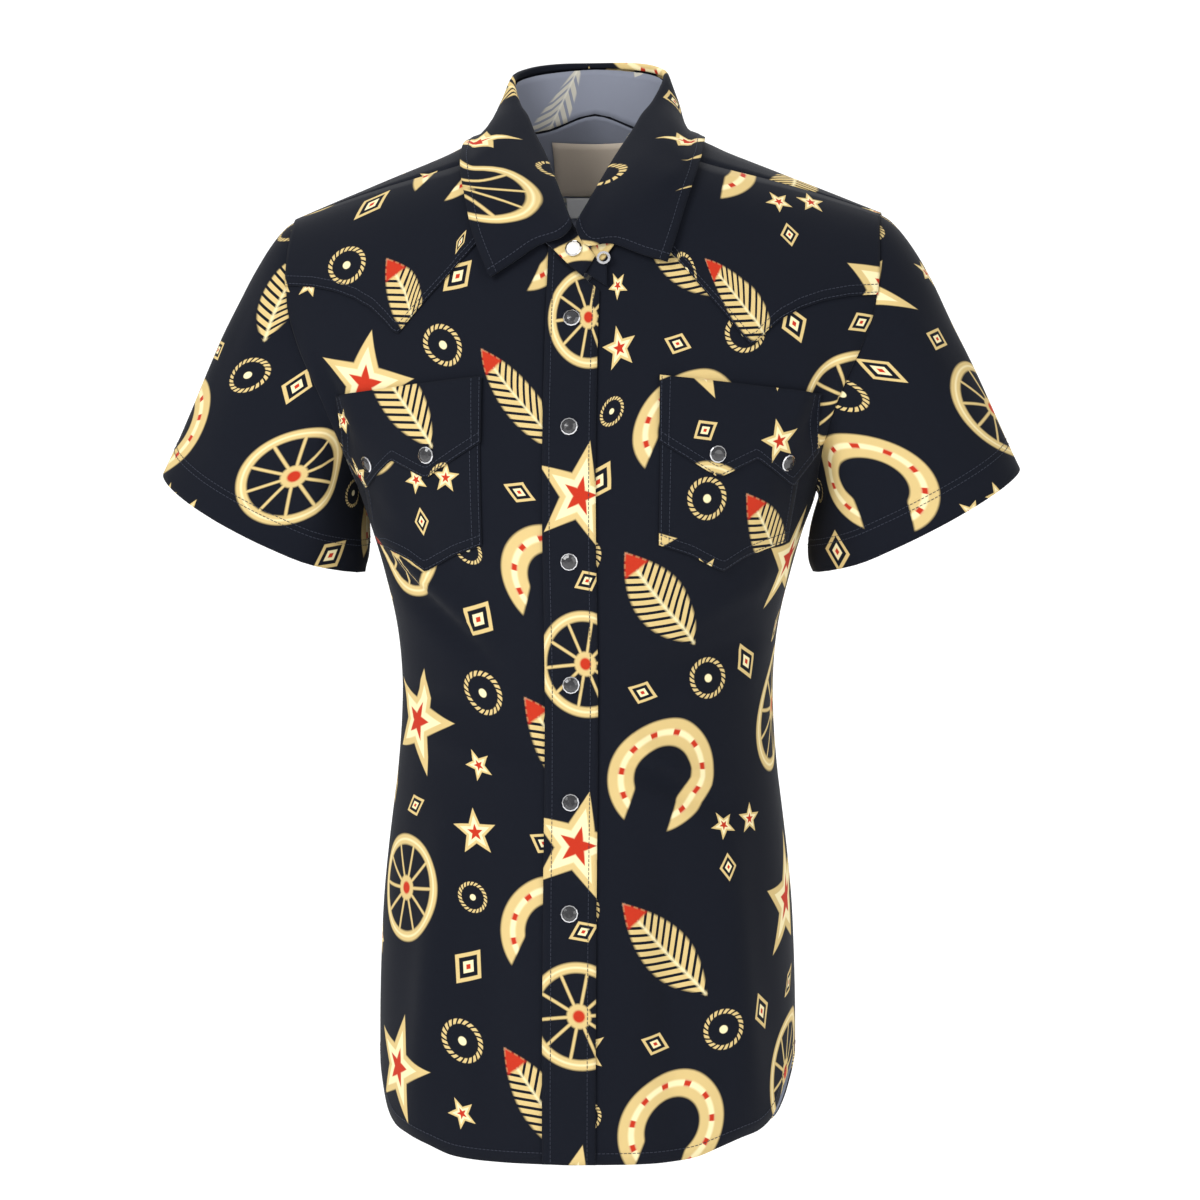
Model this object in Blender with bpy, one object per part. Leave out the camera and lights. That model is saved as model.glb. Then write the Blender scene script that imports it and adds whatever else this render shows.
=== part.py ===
"""A short-sleeved western snap shirt as it hangs on its wearer, hollow, with open neck, cuffs and hem.

Metres, +Z up. The front faces -Y and the wearer's left is +X. The origin is where the wearer holds the
shirt up: the middle of the neck's base, level with the shoulders.

Every cloth piece is a wall worked out from one torso surface. A panel is a grid of points on that surface,
and what lies on a panel, such as a yoke or a pocket, is made from points of the same surface moved out.
"""

import bpy
import bmesh
import math
from mathutils import Vector
from mathutils.bvhtree import BVHTree

# Cloth and seams
CLOTH = 0.0012
OVERLAY = 0.0010
LEAF = 0.0016
SEAM = 0.0003
NECK_SEAM = 0.0005
LAY = 0.0005

# The torso's levels
UNDERARM = -0.240
HEM_START = -0.500
SHOULDER_X = 0.2155
NECK_X = 0.072
NECK_FRONT = -0.080
LEFT_NECK_DROOP = 0.026

# How many steps each grid takes
ARM_ROWS = 9
BACK_ARM_ROWS = 10
HEM_ROWS = 4
SLEEVE_ROWS = 8
LEVELS = (-0.270, -0.300, -0.335, -0.370, -0.405, -0.440, -0.470)

# Half widths and depths of the body, from the neck down
# Each row: z, width, front, back
TORSO = (
    (0.080, 0.300, 0.062, 0.060),
    (0.050, 0.300, 0.068, 0.064),
    (0.000, 0.290, 0.078, 0.080),
    (-0.070, 0.270, 0.088, 0.105),
    (-0.120, 0.245, 0.105, 0.120),
    (-0.160, 0.222, 0.115, 0.123),
    (-0.200, 0.194, 0.122, 0.122),
    (-0.235, 0.171, 0.1245, 0.119),
    (-0.270, 0.158, 0.1235, 0.113),
    (-0.310, 0.1465, 0.119, 0.107),
    (-0.345, 0.139, 0.113, 0.1015),
    (-0.385, 0.1365, 0.108, 0.098),
    (-0.430, 0.1385, 0.1095, 0.100),
    (-0.470, 0.143, 0.112, 0.106),
    (-0.530, 0.1495, 0.118, 0.120),
    (-0.600, 0.1525, 0.122, 0.130),
    (-0.670, 0.1528, 0.1245, 0.132),
    (-0.760, 0.1528, 0.125, 0.131),
)
SECTION_POWER = 2.25
SHOULDER_POWER = 2.2
SHOULDER_ROUND = 0.100

# The armhole's distance from the middle, down to the underarm
# Each row: z, x
ARMHOLE = (
    (0.000, 0.2155),
    (-0.040, 0.2155),
    (-0.090, 0.2160),
    (-0.130, 0.2110),
    (-0.160, 0.1990),
    (-0.190, 0.1870),
    (-0.215, 0.1790),
    (UNDERARM, 0.1690),
)

# The shirt-tail hem's depth, by the angle round from the middle of the front or the back
# Each row: angle, front, back
HEM = (
    (0, 0.720, 0.735),
    (30, 0.717, 0.732),
    (45, 0.706, 0.722),
    (62, 0.694, 0.703),
    (72, 0.672, 0.677),
    (82, 0.654, 0.655),
    (90, 0.648, 0.648),
)

# The neckline's w on the back, from the middle to the end of the forward seam
# Each row: x, w
NECK_BACK = ((0.0, 0.173), (0.034, 0.125), (0.055, 0.075), (0.0645, 0.020), (0.0695, -0.070), (0.072, -0.147))

# Lower edges of the yokes, by the distance from the middle
FRONT_YOKE = (
    (0.000, 0.000),
    (0.052, -0.044),
    (0.074, -0.066),
    (0.095, -0.090),
    (0.112, -0.110),
    (0.128, -0.130),
    (0.138, -0.119),
    (0.148, -0.110),
    (0.162, -0.102),
    (0.178, -0.096),
    (0.196, -0.092),
    (0.230, -0.089),
)
FRONT_YOKE_SAG = {-1: 0.0, 1: 0.010}
BACK_YOKE = (
    (0.000, -0.140),
    (0.025, -0.128),
    (0.050, -0.118),
    (0.080, -0.109),
    (0.110, -0.103),
    (0.150, -0.098),
    (0.230, -0.094),
)

# Columns of the panels: x along the neckline and along the shoulder seam, for one side
SHOULDER_COLUMNS = (NECK_X, 0.090, 0.108, 0.130, 0.153, 0.177, 0.199, SHOULDER_X)
FRONT_NECK = (0.033, 0.054, 0.066)
BACK_NECK = (0.0, 0.034, 0.055, 0.0645, 0.0695)
LEFT_EDGE = (-0.0165, 0.0, 0.0190)
RIGHT_EDGE = (0.0175,)

# Placket: half its width, and the slope of its top
PLACKET_HALF = 0.0190
PLACKET_CLOTH = 0.0014
PLACKET_TOP = -0.0830
PLACKET_SLOPE = -0.885

# Outline of a chest pocket, x and z, and of its flap, with a point at each snap
POCKET = (
    (0.0650, -0.176),
    (0.0630, -0.281),
    (0.0850, -0.2885),
    (0.1060, -0.300),
    (0.1200, -0.290),
    (0.1350, -0.283),
    (0.1490, -0.277),
    (0.1690, -0.176),
)
FLAP = (
    (0.0635, -0.161),
    (0.0635, -0.208),
    (0.0830, -0.220),
    (0.1040, -0.233),
    (0.1175, -0.226),
    (0.1310, -0.219),
    (0.1530, -0.238),
    (0.1715, -0.212),
    (0.1755, -0.172),
)
FLAP_SNAPS = ((0.1040, -0.2165), (0.1515, -0.2215))
CUTTER_REACH = 0.200

# Collar, from the middle of the back to the front end. The neckline's x tells which curve it is on.
# The fold is a point. The leaf crosses the neckline at via, and ends at edge, each an x and a w on the body.
# Each row: curve, neck_x, fold, via, edge
COLLAR = (
    ("back", 0.0000, (0.000, 0.052, 0.0825), (0.000, 0.176), (0.000, 0.194)),
    ("back", 0.0340, (0.028, 0.045, 0.0810), (0.035, 0.129), (0.037, 0.152)),
    ("back", 0.0550, (0.047, 0.029, 0.0755), (0.057, 0.078), (0.064, 0.100)),
    ("back", 0.0645, (0.055, 0.009, 0.0660), (0.067, 0.022), (0.081, 0.035)),
    ("back", 0.0695, (0.048, -0.013, 0.0440), (0.072, -0.068), (0.086, -0.050)),
    ("front", 0.0720, (0.042, -0.021, 0.0330), (0.0745, -0.145), (0.0865, -0.120)),
    ("front", 0.0660, (0.036, -0.031, 0.0190), (0.070, -0.175), (0.084, -0.178)),
    ("front", 0.0540, (0.0265, -0.044, 0.0010), (0.058, -0.221), (0.080, -0.222)),
    ("front", 0.0330, (0.015, -0.066, -0.0230), (0.042, -0.284), (0.073, -0.285)),
    ("front", 0.0100, (0.001, -0.0905, -0.0510), (0.0215, -0.346), (0.060, -0.347)),
)
LEFT_TIP = (0.067, -0.325)
LEAF_OUT = 0.0056
LEAF_OFF_STAND = 0.0055
STAND_SHARE = 0.90
# The stand's two open ends, past the centre front: x and z of the lower and the upper corner, and how far out
# Each row: low, high
STAND_ENDS = {
    -1: (((-0.0035, -0.0800), (0.0060, -0.0615)), ((0.0075, -0.0885), (0.0155, -0.0740))),
    1: (((0.0240, -0.0740), (0.0140, -0.0600)), ((0.0245, -0.0960), (0.0085, -0.0860))),
}
STAND_END_OUT = {-1: 0.0062, 1: 0.0036}
LEFT_END_CLEAR = 0.0020

# Sleeve hem: an ellipse square to the sleeve's axis, tipped so that its front hangs lower
SLEEVE_OUTER = Vector((0.317, 0.0, -0.2235))
SLEEVE_INNER = Vector((0.166, 0.0, -0.2990))
SLEEVE_DEPTH = 0.050
SLEEVE_TIP = {-1: 0.014, 1: -0.006}
SLEEVE_AXIS = Vector((0.452, 0.0, -0.892))

# Snaps
SNAP_LEVELS = (-0.1194, -0.1973, -0.2930, -0.3805, -0.4640, -0.5425)
CAP_RADIUS = 0.0051
CAP_HEIGHT = 0.0023
RING_INNER = 0.0054
RING_OUTER = 0.0062
RING_HEIGHT = 0.0013
SNAP_SIDES = 12
SNAP_GAP = 0.0004

# Labels inside the back neck: x and z at the left bottom and right top corners
LABEL = ((-0.032, -0.014), (0.032, 0.023))
SIZE_TAB = ((-0.025, -0.030), (-0.007, -0.0155))
LABEL_CLOTH = 0.0010
LABEL_IN = 0.0008

NAVY = (0.008, 0.011, 0.022, 1)
STRAW = (0.72, 0.60, 0.33, 1)


# ---------------------------------------------------------------- tables and curves


def column(rows, index):
    """A smooth curve through one column of a table, read by the first column."""
    keys = [row[0] for row in rows]
    values = [row[index] for row in rows]
    rising = keys[-1] > keys[0]
    slopes = []
    for i in range(len(keys)):
        low, high = max(i - 1, 0), min(i + 1, len(keys) - 1)
        slopes.append((values[high] - values[low]) / (keys[high] - keys[low]))

    def read(key):
        key = min(max(key, min(keys)), max(keys))
        i = 0
        while i < len(keys) - 2 and (key > keys[i + 1] if rising else key < keys[i + 1]):
            i += 1
        span = keys[i + 1] - keys[i]
        u = (key - keys[i]) / span
        return (
            values[i] * (2 * u**3 - 3 * u**2 + 1)
            + slopes[i] * span * (u**3 - 2 * u**2 + u)
            + values[i + 1] * (3 * u**2 - 2 * u**3)
            + slopes[i + 1] * span * (u**3 - u**2)
        )

    return read


half_width = column(TORSO, 1)
depth = {-1: column(TORSO, 2), 1: column(TORSO, 3)}
armhole_x = column(ARMHOLE, 1)
hem_depth = {-1: column(HEM, 1), 1: column(HEM, 2)}


def mix(a, b, u):
    return a + (b - a) * u


def ridge(x):
    """Height of the shoulder's top line."""
    near_neck = max(0.0, 1 - abs(x) / 0.110)
    return 0.022 - 0.40 * (abs(x) - 0.066) + 0.025 * near_neck**2


def forward_drop(x):
    """How far below the shoulder's top line the forward shoulder seam runs."""
    return 0.0025 + 0.0185 * (max(0.0, SHOULDER_X - abs(x)) / (SHOULDER_X - 0.075)) ** 1.5


def torso(x, z, side):
    """The point of the body's surface at x and z, on the front (-1) or the back (1)."""
    share = min(1.0, abs(x) / half_width(z))
    across = (1 - share**SECTION_POWER) ** (1 / SECTION_POWER)
    drop = min(1.0, max(0.0, ridge(x) - z) / SHOULDER_ROUND)
    rounded = (1 - (1 - drop) ** SHOULDER_POWER) ** (1 / SHOULDER_POWER)
    return Vector((x, side * depth[side](z) * across * rounded, z))


def over(x, w):
    """The body's surface by x and w, a distance that runs from the front (w < 0) over the shoulder to the back."""
    return torso(x, ridge(x) - w * w, -1 if w < 0 else 1)


def body_normal(x, w):
    """The way out of the body's surface at x and w."""
    step = 0.002
    across = over(x + step, w) - over(x - step, w)
    down = over(x, w + step) - over(x, w - step)
    normal = across.cross(down).normalized()
    return normal if normal.dot(Vector((0, w, 0.05))) > 0 else -normal


def neck_front_z(x, droop=0.0):
    """The neckline's height on the front. Past the centre it runs on down, under the placket."""
    corner = ridge(NECK_X) - forward_drop(NECK_X)
    rise = (min(abs(x), NECK_X) / NECK_X) ** 1.35
    sag = droop * max(0.0, 1 - max(x, 0.0) / 0.045) - 0.5 * min(x, 0.0)
    return mix(NECK_FRONT, corner, rise) - sag


neck_back_w = column(NECK_BACK, 1)


def hem_z(x, side):
    share = min(1.0, abs(x) / half_width(-0.70))
    return -hem_depth[side](math.degrees(math.asin(share ** (SECTION_POWER / 2))))


# ---------------------------------------------------------------- grids


def grid_normals(grid, wrap=False):
    """A unit normal for each point of a grid, from its neighbours."""
    rows, cols = len(grid), len(grid[0])
    normals = []
    for i in range(rows):
        line = []
        for j in range(cols):
            left = grid[i][(j - 1) % cols] if wrap else grid[i][max(j - 1, 0)]
            right = grid[i][(j + 1) % cols] if wrap else grid[i][min(j + 1, cols - 1)]
            down = grid[min(i + 1, rows - 1)][j] - grid[max(i - 1, 0)][j]
            line.append((right - left).cross(down).normalized())
        normals.append(line)
    return normals


def facing(normals, grid, centre):
    """Turns the normals so that they point away from the centre line."""
    i, j = len(grid) // 2, len(grid[0]) // 2
    away = grid[i][j] - Vector((centre[0], centre[1], grid[i][j].z))
    if normals[i][j].dot(away) < 0:
        return [[-n for n in line] for line in normals]
    return normals


def moved(grid, normals, distance):
    return [[p + n * distance for p, n in zip(line, ns)] for line, ns in zip(grid, normals)]


def pull_in(grid, distance, sides):
    """Moves the edges of a grid inwards: t top, b bottom, l first column, r last column."""
    new = [[p.copy() for p in line] for line in grid]
    rows, cols = len(grid), len(grid[0])
    for i in range(rows):
        if "l" in sides:
            new[i][0] += (grid[i][1] - grid[i][0]).normalized() * distance
        if "r" in sides:
            new[i][-1] += (grid[i][-2] - grid[i][-1]).normalized() * distance
    for j in range(cols):
        if "t" in sides:
            new[0][j] += (grid[1][j] - grid[0][j]).normalized() * distance
        if "b" in sides:
            new[-1][j] += (grid[-2][j] - grid[-1][j]).normalized() * distance
    return new


def material(name, colour, roughness, metallic=0.0):
    mat = bpy.data.materials.new(name)
    mat.use_nodes = True
    shader = mat.node_tree.nodes["Principled BSDF"]
    shader.inputs["Base Color"].default_value = colour
    shader.inputs["Roughness"].default_value = roughness
    shader.inputs["Metallic"].default_value = metallic
    return mat


def finish(name, mesh, colour, roughness, metallic=0.0):
    """Turns a bmesh into a named object with a material of its own."""
    bmesh.ops.recalc_face_normals(mesh, faces=mesh.faces)
    if mesh.calc_volume(signed=True) < 0:
        bmesh.ops.reverse_faces(mesh, faces=mesh.faces)
    data = bpy.data.meshes.new(name)
    mesh.to_mesh(data)
    mesh.free()
    data.materials.append(material(name + "_finish", colour, roughness, metallic))
    obj = bpy.data.objects.new(name, data)
    bpy.context.scene.collection.objects.link(obj)
    return obj


def wall(name, outer, inner, wrap=False, colour=NAVY, roughness=0.75):
    """A closed wall of cloth between two grids of points."""
    mesh = bmesh.new()
    layers = [[[mesh.verts.new(p) for p in line] for line in grid] for grid in (outer, inner)]
    rows, cols = len(outer), len(outer[0])
    across = cols if wrap else cols - 1
    for layer in layers:
        for i in range(rows - 1):
            for j in range(across):
                k = (j + 1) % cols
                mesh.faces.new((layer[i][j], layer[i][k], layer[i + 1][k]))
                mesh.faces.new((layer[i][j], layer[i + 1][k], layer[i + 1][j]))
    first, second = layers
    for i in (0, rows - 1):
        for j in range(across):
            k = (j + 1) % cols
            mesh.faces.new((first[i][j], first[i][k], second[i][k], second[i][j]))
    if not wrap:
        for j in (0, cols - 1):
            for i in range(rows - 1):
                mesh.faces.new((first[i][j], first[i + 1][j], second[i + 1][j], second[i][j]))
    return finish(name, mesh, colour, roughness)


# ---------------------------------------------------------------- panels


def bottom_share(j, count):
    """The share of the half width at column j, even in angle round the section."""
    return math.sin(math.pi / 2 * j / count) ** (2 / SECTION_POWER)


def lower_rows(places, side):
    """The rows below the underarm: level to the hip, then spread down to the hem."""
    rows = []
    for level in LEVELS + (HEM_START,):
        rows.append([torso(place(level), level, side) for place in places])
    for step in range(1, HEM_ROWS + 1):
        row = []
        for place in places:
            z = mix(HEM_START, hem_z(place(-0.60), side), step / HEM_ROWS)
            row.append(torso(place(z), z, side))
        rows.append(row)
    return rows


def panel(tops, starts, fixed, count, side):
    """A panel's grid: tops are the columns' x at the top, starts their w, and the first fixed ones keep their x."""
    moving = len(tops) - fixed
    shares = [bottom_share(j + 1, moving) for j in range(moving)]
    rows = []
    for i in range(count + 1):
        v = i / count
        outer_end = side * math.sqrt(ridge(half_width(UNDERARM)) - UNDERARM)
        outer_w = mix(starts[-1], outer_end, v)
        outer_x = armhole_x(ridge(0.213) - outer_w**2) if i < count else half_width(UNDERARM)
        row = []
        for j, (top, start) in enumerate(zip(tops, starts)):
            x = top if j < fixed else mix(top / SHOULDER_X, shares[j - fixed], v) * outer_x
            row.append(over(x, mix(start, side * math.sqrt(ridge(x) - UNDERARM), v)))
        rows.append(row)
    places = [lambda z, top=top: top for top in tops[:fixed]]
    places += [lambda z, share=share: share * half_width(z) for share in shares]
    return rows + lower_rows(places, side)


def front_grid(edge, droop):
    """The grid of one front, in mirrored coordinates: x grows from the centre edge to the side."""
    tops = edge + FRONT_NECK + SHOULDER_COLUMNS
    starts = []
    for x in tops:
        drop = ridge(x) - neck_front_z(x, droop) if x < NECK_X else forward_drop(x)
        starts.append(-math.sqrt(drop))
    return panel(tops, starts, len(edge), ARM_ROWS, -1)


def back_half():
    """The grid of half the back, from the middle to the side, over the shoulder to the forward seam."""
    tops = BACK_NECK + SHOULDER_COLUMNS
    starts = [neck_back_w(x) if x < NECK_X else -math.sqrt(forward_drop(x)) for x in tops]
    return panel(tops, starts, 1, BACK_ARM_ROWS, 1)


def mirror(grid):
    """The other side of a grid, in x."""
    return [[Vector((-p.x, p.y, p.z)) for p in line] for line in grid]


def whole_back():
    half = back_half()
    return [list(reversed(other))[:-1] + line for other, line in zip(mirror(half), half)]


# ---------------------------------------------------------------- sleeves


def hermite(a, b, ta, tb, u):
    return (
        a * (2 * u**3 - 3 * u**2 + 1)
        + ta * (u**3 - 2 * u**2 + u)
        + b * (3 * u**2 - 2 * u**3)
        + tb * (u**3 - u**2)
    )


def armhole_loop(front, back):
    """The armhole's points, from the shoulder's top down the front to the underarm and up the back."""
    front_edge = [line[-1] for line in front[: ARM_ROWS + 1]]
    back_edge = [line[-1] for line in back[: BACK_ARM_ROWS + 1]]
    return front_edge + list(reversed(back_edge))[1:-1]


def arc_shares(points):
    """The share of the way along a run of points."""
    steps = [0.0]
    for a, b in zip(points, points[1:]):
        steps.append(steps[-1] + (b - a).length)
    return [s / steps[-1] for s in steps]


def sleeve_grid(loop):
    """Rows from the armhole to the hem, each one closed ring of points."""
    down = arc_shares(loop[: ARM_ROWS + 1])
    up = arc_shares(loop[ARM_ROWS:] + loop[:1])
    angles = [180 * s for s in down] + [180 + 180 * s for s in up[1:-1]]
    centre = (SLEEVE_OUTER + SLEEVE_INNER) / 2
    half = (SLEEVE_OUTER - SLEEVE_INNER) / 2
    axis = SLEEVE_AXIS.normalized()
    columns = []
    for start, angle in zip(loop, angles):
        turn = math.radians(angle)
        forward = math.sin(turn)
        tip = SLEEVE_TIP[-1] * max(forward, 0) + SLEEVE_TIP[1] * max(-forward, 0)
        end = centre + half * math.cos(turn) + Vector((0, -SLEEVE_DEPTH * forward, 0)) + axis * tip
        low = ((1 - math.cos(turn)) / 2) ** 1.2
        leave = Vector((mix(1.0, 0.15, low), -0.12 * forward, mix(-0.45, -1.0, low))).normalized()
        chord = (end - start).length
        line = []
        for i in range(SLEEVE_ROWS + 1):
            u = (i / SLEEVE_ROWS) ** 1.15
            line.append(hermite(start, end, leave * chord * 0.5, axis * chord * 0.95, u))
        columns.append(line)
    return [[line[i] for line in columns] for i in range(SLEEVE_ROWS + 1)]


def mitred(normal, other):
    """The way in through a wall where two walls meet: shared where they nearly continue each other."""
    if normal.dot(other) < 0.2:
        return normal
    half = (normal + other).normalized()
    return half / max(0.6, half.dot(normal))


def edge_normals(name, grid):
    """A panel's normals, with the side seam's and the shoulder seam's shared by the panels that meet there."""
    normals = facing(grid_normals(grid), grid, (0.0, 0.0))
    rows = BACK_ARM_ROWS if name == "back" else ARM_ROWS
    for side, j in ((-1, 0), (1, len(grid[0]) - 1)):
        if grid[-1][j].x * side < 0.1:
            continue
        for i in range(rows, len(grid)):
            z = grid[i][j].z
            slope = (half_width(z + 0.01) - half_width(z - 0.01)) / 0.02
            normals[i][j] = Vector((side, 0, -slope)).normalized()
    for j, point in enumerate(grid[0]):
        if abs(point.x) >= NECK_X - 0.001:
            normals[0][j] = body_normal(point.x, -math.sqrt(max(0.0, ridge(point.x) - point.z)))
    return normals


def make_panels():
    """The grids and normals of the three panels, and the two sleeves, whose seams share their way in."""
    grids = {
        "front_left": front_grid(LEFT_EDGE, LEFT_NECK_DROOP),
        "front_right": mirror(front_grid(RIGHT_EDGE, 0.0)),
        "back": whole_back(),
    }
    normals = {name: edge_normals(name, grid) for name, grid in grids.items()}
    inward = {name: [[n.copy() for n in line] for line in ns] for name, ns in normals.items()}
    for side in (-1, 1):
        front = "front_right" if side < 0 else "front_left"
        back = grids["back"] if side > 0 else [list(reversed(line)) for line in grids["back"]]
        loop = armhole_loop(grids[front], back)
        flat = loop if side > 0 else [Vector((-p.x, p.y, p.z)) for p in loop]
        grid = sleeve_grid(flat)
        grid = grid if side > 0 else mirror(grid)
        ns = grid_normals(grid, wrap=True)
        centre = sum(grid[-1], Vector()) / len(grid[-1])
        if ns[-1][0].dot(grid[-1][0] - centre) < 0:
            ns = [[-n for n in line] for line in ns]
        inner = moved(grid, ns, -CLOTH)
        j_back = 0 if side < 0 else -1
        for k in range(len(grid[0])):
            spots = [(front, k, -1)] if k <= ARM_ROWS else []
            if k in (0, ARM_ROWS) or k > ARM_ROWS:
                i = 0 if k == 0 else BACK_ARM_ROWS - (k - ARM_ROWS)
                spots.append(("back", i, j_back))
            name, i, j = spots[0]
            body = normals[name][i][j]
            inner[0][k] = grid[0][k] - mitred(ns[0][k], body) * CLOTH
            for name, i, j in spots:
                inward[name][i][j] = mitred(body, ns[0][k])
        name = "sleeve_right" if side < 0 else "sleeve_left"
        wall(name, pull_in(grid, SEAM, "t"), pull_in(inner, SEAM, "t"), wrap=True)
    for name, grid in grids.items():
        inner = moved(grid, inward[name], -CLOTH)
        sides = "tlr" if name == "back" else "tr"
        wall(name, pull_in(grid, SEAM / 2, sides), pull_in(inner, SEAM / 2, sides))
    return grids, normals


# ---------------------------------------------------------------- what lies on the panels


def cutter(name, outline, low_y, high_y):
    """A prism along Y over an outline of x and z, which cuts a piece out of a moved panel."""
    mesh = bmesh.new()
    face = mesh.faces.new([mesh.verts.new((x, low_y, z)) for x, z in outline])
    made = bmesh.ops.extrude_face_region(mesh, geom=[face])["geom"]
    moved_verts = [v for v in made if isinstance(v, bmesh.types.BMVert)]
    bmesh.ops.translate(mesh, verts=moved_verts, vec=(0, high_y - low_y, 0))
    obj = finish(name, mesh, STRAW, 0.8)
    obj.hide_render = True
    obj.display_type = "WIRE"
    return obj


def cut_piece(name, grid, normals, low, thick, outline, span):
    """A piece that lies on a panel: the panel's own points moved out, cut to an outline."""
    trimmed = pull_in(grid, LAY, "tlr")
    piece = wall(name, moved(trimmed, normals, low + thick), moved(trimmed, normals, low))
    cut = piece.modifiers.new("outline", "BOOLEAN")
    cut.operation = "INTERSECT"
    cut.object = cutter(name + "_outline", outline, span[0], span[1])
    return piece


def yoke_outline(side):
    low = [(x * side, z - FRONT_YOKE_SAG[side]) for x, z in FRONT_YOKE]
    return [(low[0][0], 0.06)] + low + [(low[-1][0], 0.06)]


def pieces_on_fronts(grids, normals):
    """The yokes, pockets and flaps of both fronts. A flap lies over its pocket."""
    flaps = {}
    for side in (-1, 1):
        hand = "left" if side > 0 else "right"
        grid, ns = grids["front_" + hand], normals["front_" + hand]
        span = (-CUTTER_REACH, 0.0)
        cut_piece("yoke_front_" + hand, grid, ns, LAY, OVERLAY, yoke_outline(side), span)
        pocket = [(x * side, z) for x, z in POCKET]
        cut_piece("pocket_" + hand, grid, ns, LAY, OVERLAY, pocket, span)
        flap = [(x * side, z) for x, z in FLAP]
        over_pocket = 2 * LAY + OVERLAY
        flaps[side] = cut_piece("flap_" + hand, grid, ns, over_pocket, OVERLAY, flap, span)
    return flaps


def back_yoke(grids, normals):
    low = [(-x, z) for x, z in reversed(BACK_YOKE)][:-1] + list(BACK_YOKE)
    outline = low + [(low[-1][0], 0.10), (low[0][0], 0.10)]
    cut_piece("yoke_back", grids["back"], normals["back"], 2 * LAY, OVERLAY, outline, (-0.1, CUTTER_REACH))


def placket(grid):
    """The band of snaps, with its rows at the same heights as the front's."""
    xs = (-PLACKET_HALF, LEFT_EDGE[0], LEFT_EDGE[1], LEFT_EDGE[2])
    rows = [[torso(x, PLACKET_TOP + PLACKET_SLOPE * x, -1) for x in xs]]
    for line in grid[1:]:
        rows.append([torso(x, line[1].z, -1) for x in xs])
    normals = facing(grid_normals(rows), rows, (0.0, 0.0))
    return wall("placket_right", moved(rows, normals, LAY + PLACKET_CLOTH), moved(rows, normals, LAY))


def inside_label(name, back, corners, colour):
    """A label against the back's inner face, found from inside so that it clears every facet."""
    (left, bottom), (right, top) = corners
    tree = BVHTree.FromObject(back, bpy.context.evaluated_depsgraph_get())
    grid = []
    for i in range(4):
        line = []
        for j in range(5):
            start = Vector((mix(left, right, j / 4), 0.0, mix(top, bottom, i / 3)))
            line.append(tree.ray_cast(start, Vector((0, 1, 0)))[0])
        grid.append(line)
    normals = facing(grid_normals(grid), grid, (0.0, 0.0))
    return wall(name, moved(grid, normals, -LABEL_IN), moved(grid, normals, -LABEL_IN - LABEL_CLOTH), colour=colour)


# ---------------------------------------------------------------- collar


def collar_columns():
    """The collar's rows for both sides: side, neckline point, fold, via and edge, from the right end to the left."""
    halves = {}
    for side in (-1, 1):
        droop = LEFT_NECK_DROOP if side > 0 else 0.0
        half = []
        for curve, x, fold, via, edge in COLLAR:
            if curve == "back":
                base = over(x, neck_back_w(x))
            else:
                base = torso(x, neck_front_z(x, droop), -1)
            if side > 0 and x == COLLAR[-1][1] and curve == "front":
                edge = LEFT_TIP
            half.append((side, Vector((base.x * side, base.y, base.z)), Vector((fold[0] * side, *fold[1:])),
                         (via[0] * side, via[1]), (edge[0] * side, edge[1])))
        halves[side] = half
    return list(reversed(halves[-1]))[:-1] + halves[1]


def collar_stand(columns):
    """The band from the neckline up towards the fold, with an end tab on the right and an open left end."""
    lines = []
    for _, base, fold, _, _ in columns:
        up = (fold - base).normalized()
        low, high = base + up * NECK_SEAM * 2, mix(base, fold, STAND_SHARE - 0.02)
        lines.append([low, mix(low, high, 0.5), high])
    for side, corners in STAND_ENDS.items():
        ends = []
        for low, high in corners:
            line = []
            for u in (0.0, 0.5, 1.0):
                point = torso(mix(low[0], high[0], u), mix(low[1], high[1], u), -1)
                line.append(point + Vector((0, -STAND_END_OUT[side], 0)))
            ends.append(line)
        if side < 0:
            lines[0] = [mix(p, q, 0.5) for p, q in zip(lines[1], ends[0])]
            lines = list(reversed(ends)) + lines
        else:
            lines[-1] = [mix(p, q, 0.5) + Vector((0, -LEFT_END_CLEAR, 0)) for p, q in zip(lines[-2], ends[0])]
            lines = lines + ends
    grid = [[line[i] for line in lines] for i in range(3)]
    normals = grid_normals(grid)
    outward = sum(n.dot(Vector((p.x, p.y, 0))) for line, ns in zip(grid, normals) for p, n in zip(line, ns))
    return wall("collar_stand", grid, moved(grid, normals, -CLOTH if outward > 0 else CLOTH))


def collar_leaf(columns):
    """The leaf: up from the stand, over the fold, and down outside it to the pointed edge."""
    lines = []
    bases = [column[1] for column in columns]
    for j, (side, base, fold, via, edge) in enumerate(columns):
        up = (fold - base).normalized()
        foot = over(*via) + body_normal(*via) * LEAF_OUT
        along = bases[min(j + 1, len(bases) - 1)] - bases[max(j - 1, 0)]
        out = along.cross(up).normalized()
        if out.dot(Vector((base.x, base.y, 0))) < 0:
            out = -out
        line = [mix(base, fold, STAND_SHARE) + up * SEAM * 2, fold, fold + out * 0.0036 + up * 0.0004]
        line.append(mix(fold, base, 0.20) + out * LEAF_OFF_STAND)
        line.append(mix(mix(fold, base, 0.60), mix(fold, foot, 0.60), 0.5) + out * LEAF_OFF_STAND)
        for u in (0.12, 0.56, 1.0):
            spot = (mix(via[0], edge[0], u), mix(via[1], edge[1], u))
            line.append(over(*spot) + body_normal(*spot) * LEAF_OUT)
        lines.append(line)
    grid = [[line[i] for line in lines] for i in range(len(lines[0]))]
    normals = grid_normals(grid)
    if normals[5][len(grid[0]) // 2].y < 0:
        normals = [[-n for n in line] for line in normals]
    return wall("collar", grid, moved(grid, normals, -LEAF))


# ---------------------------------------------------------------- snaps


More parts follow.
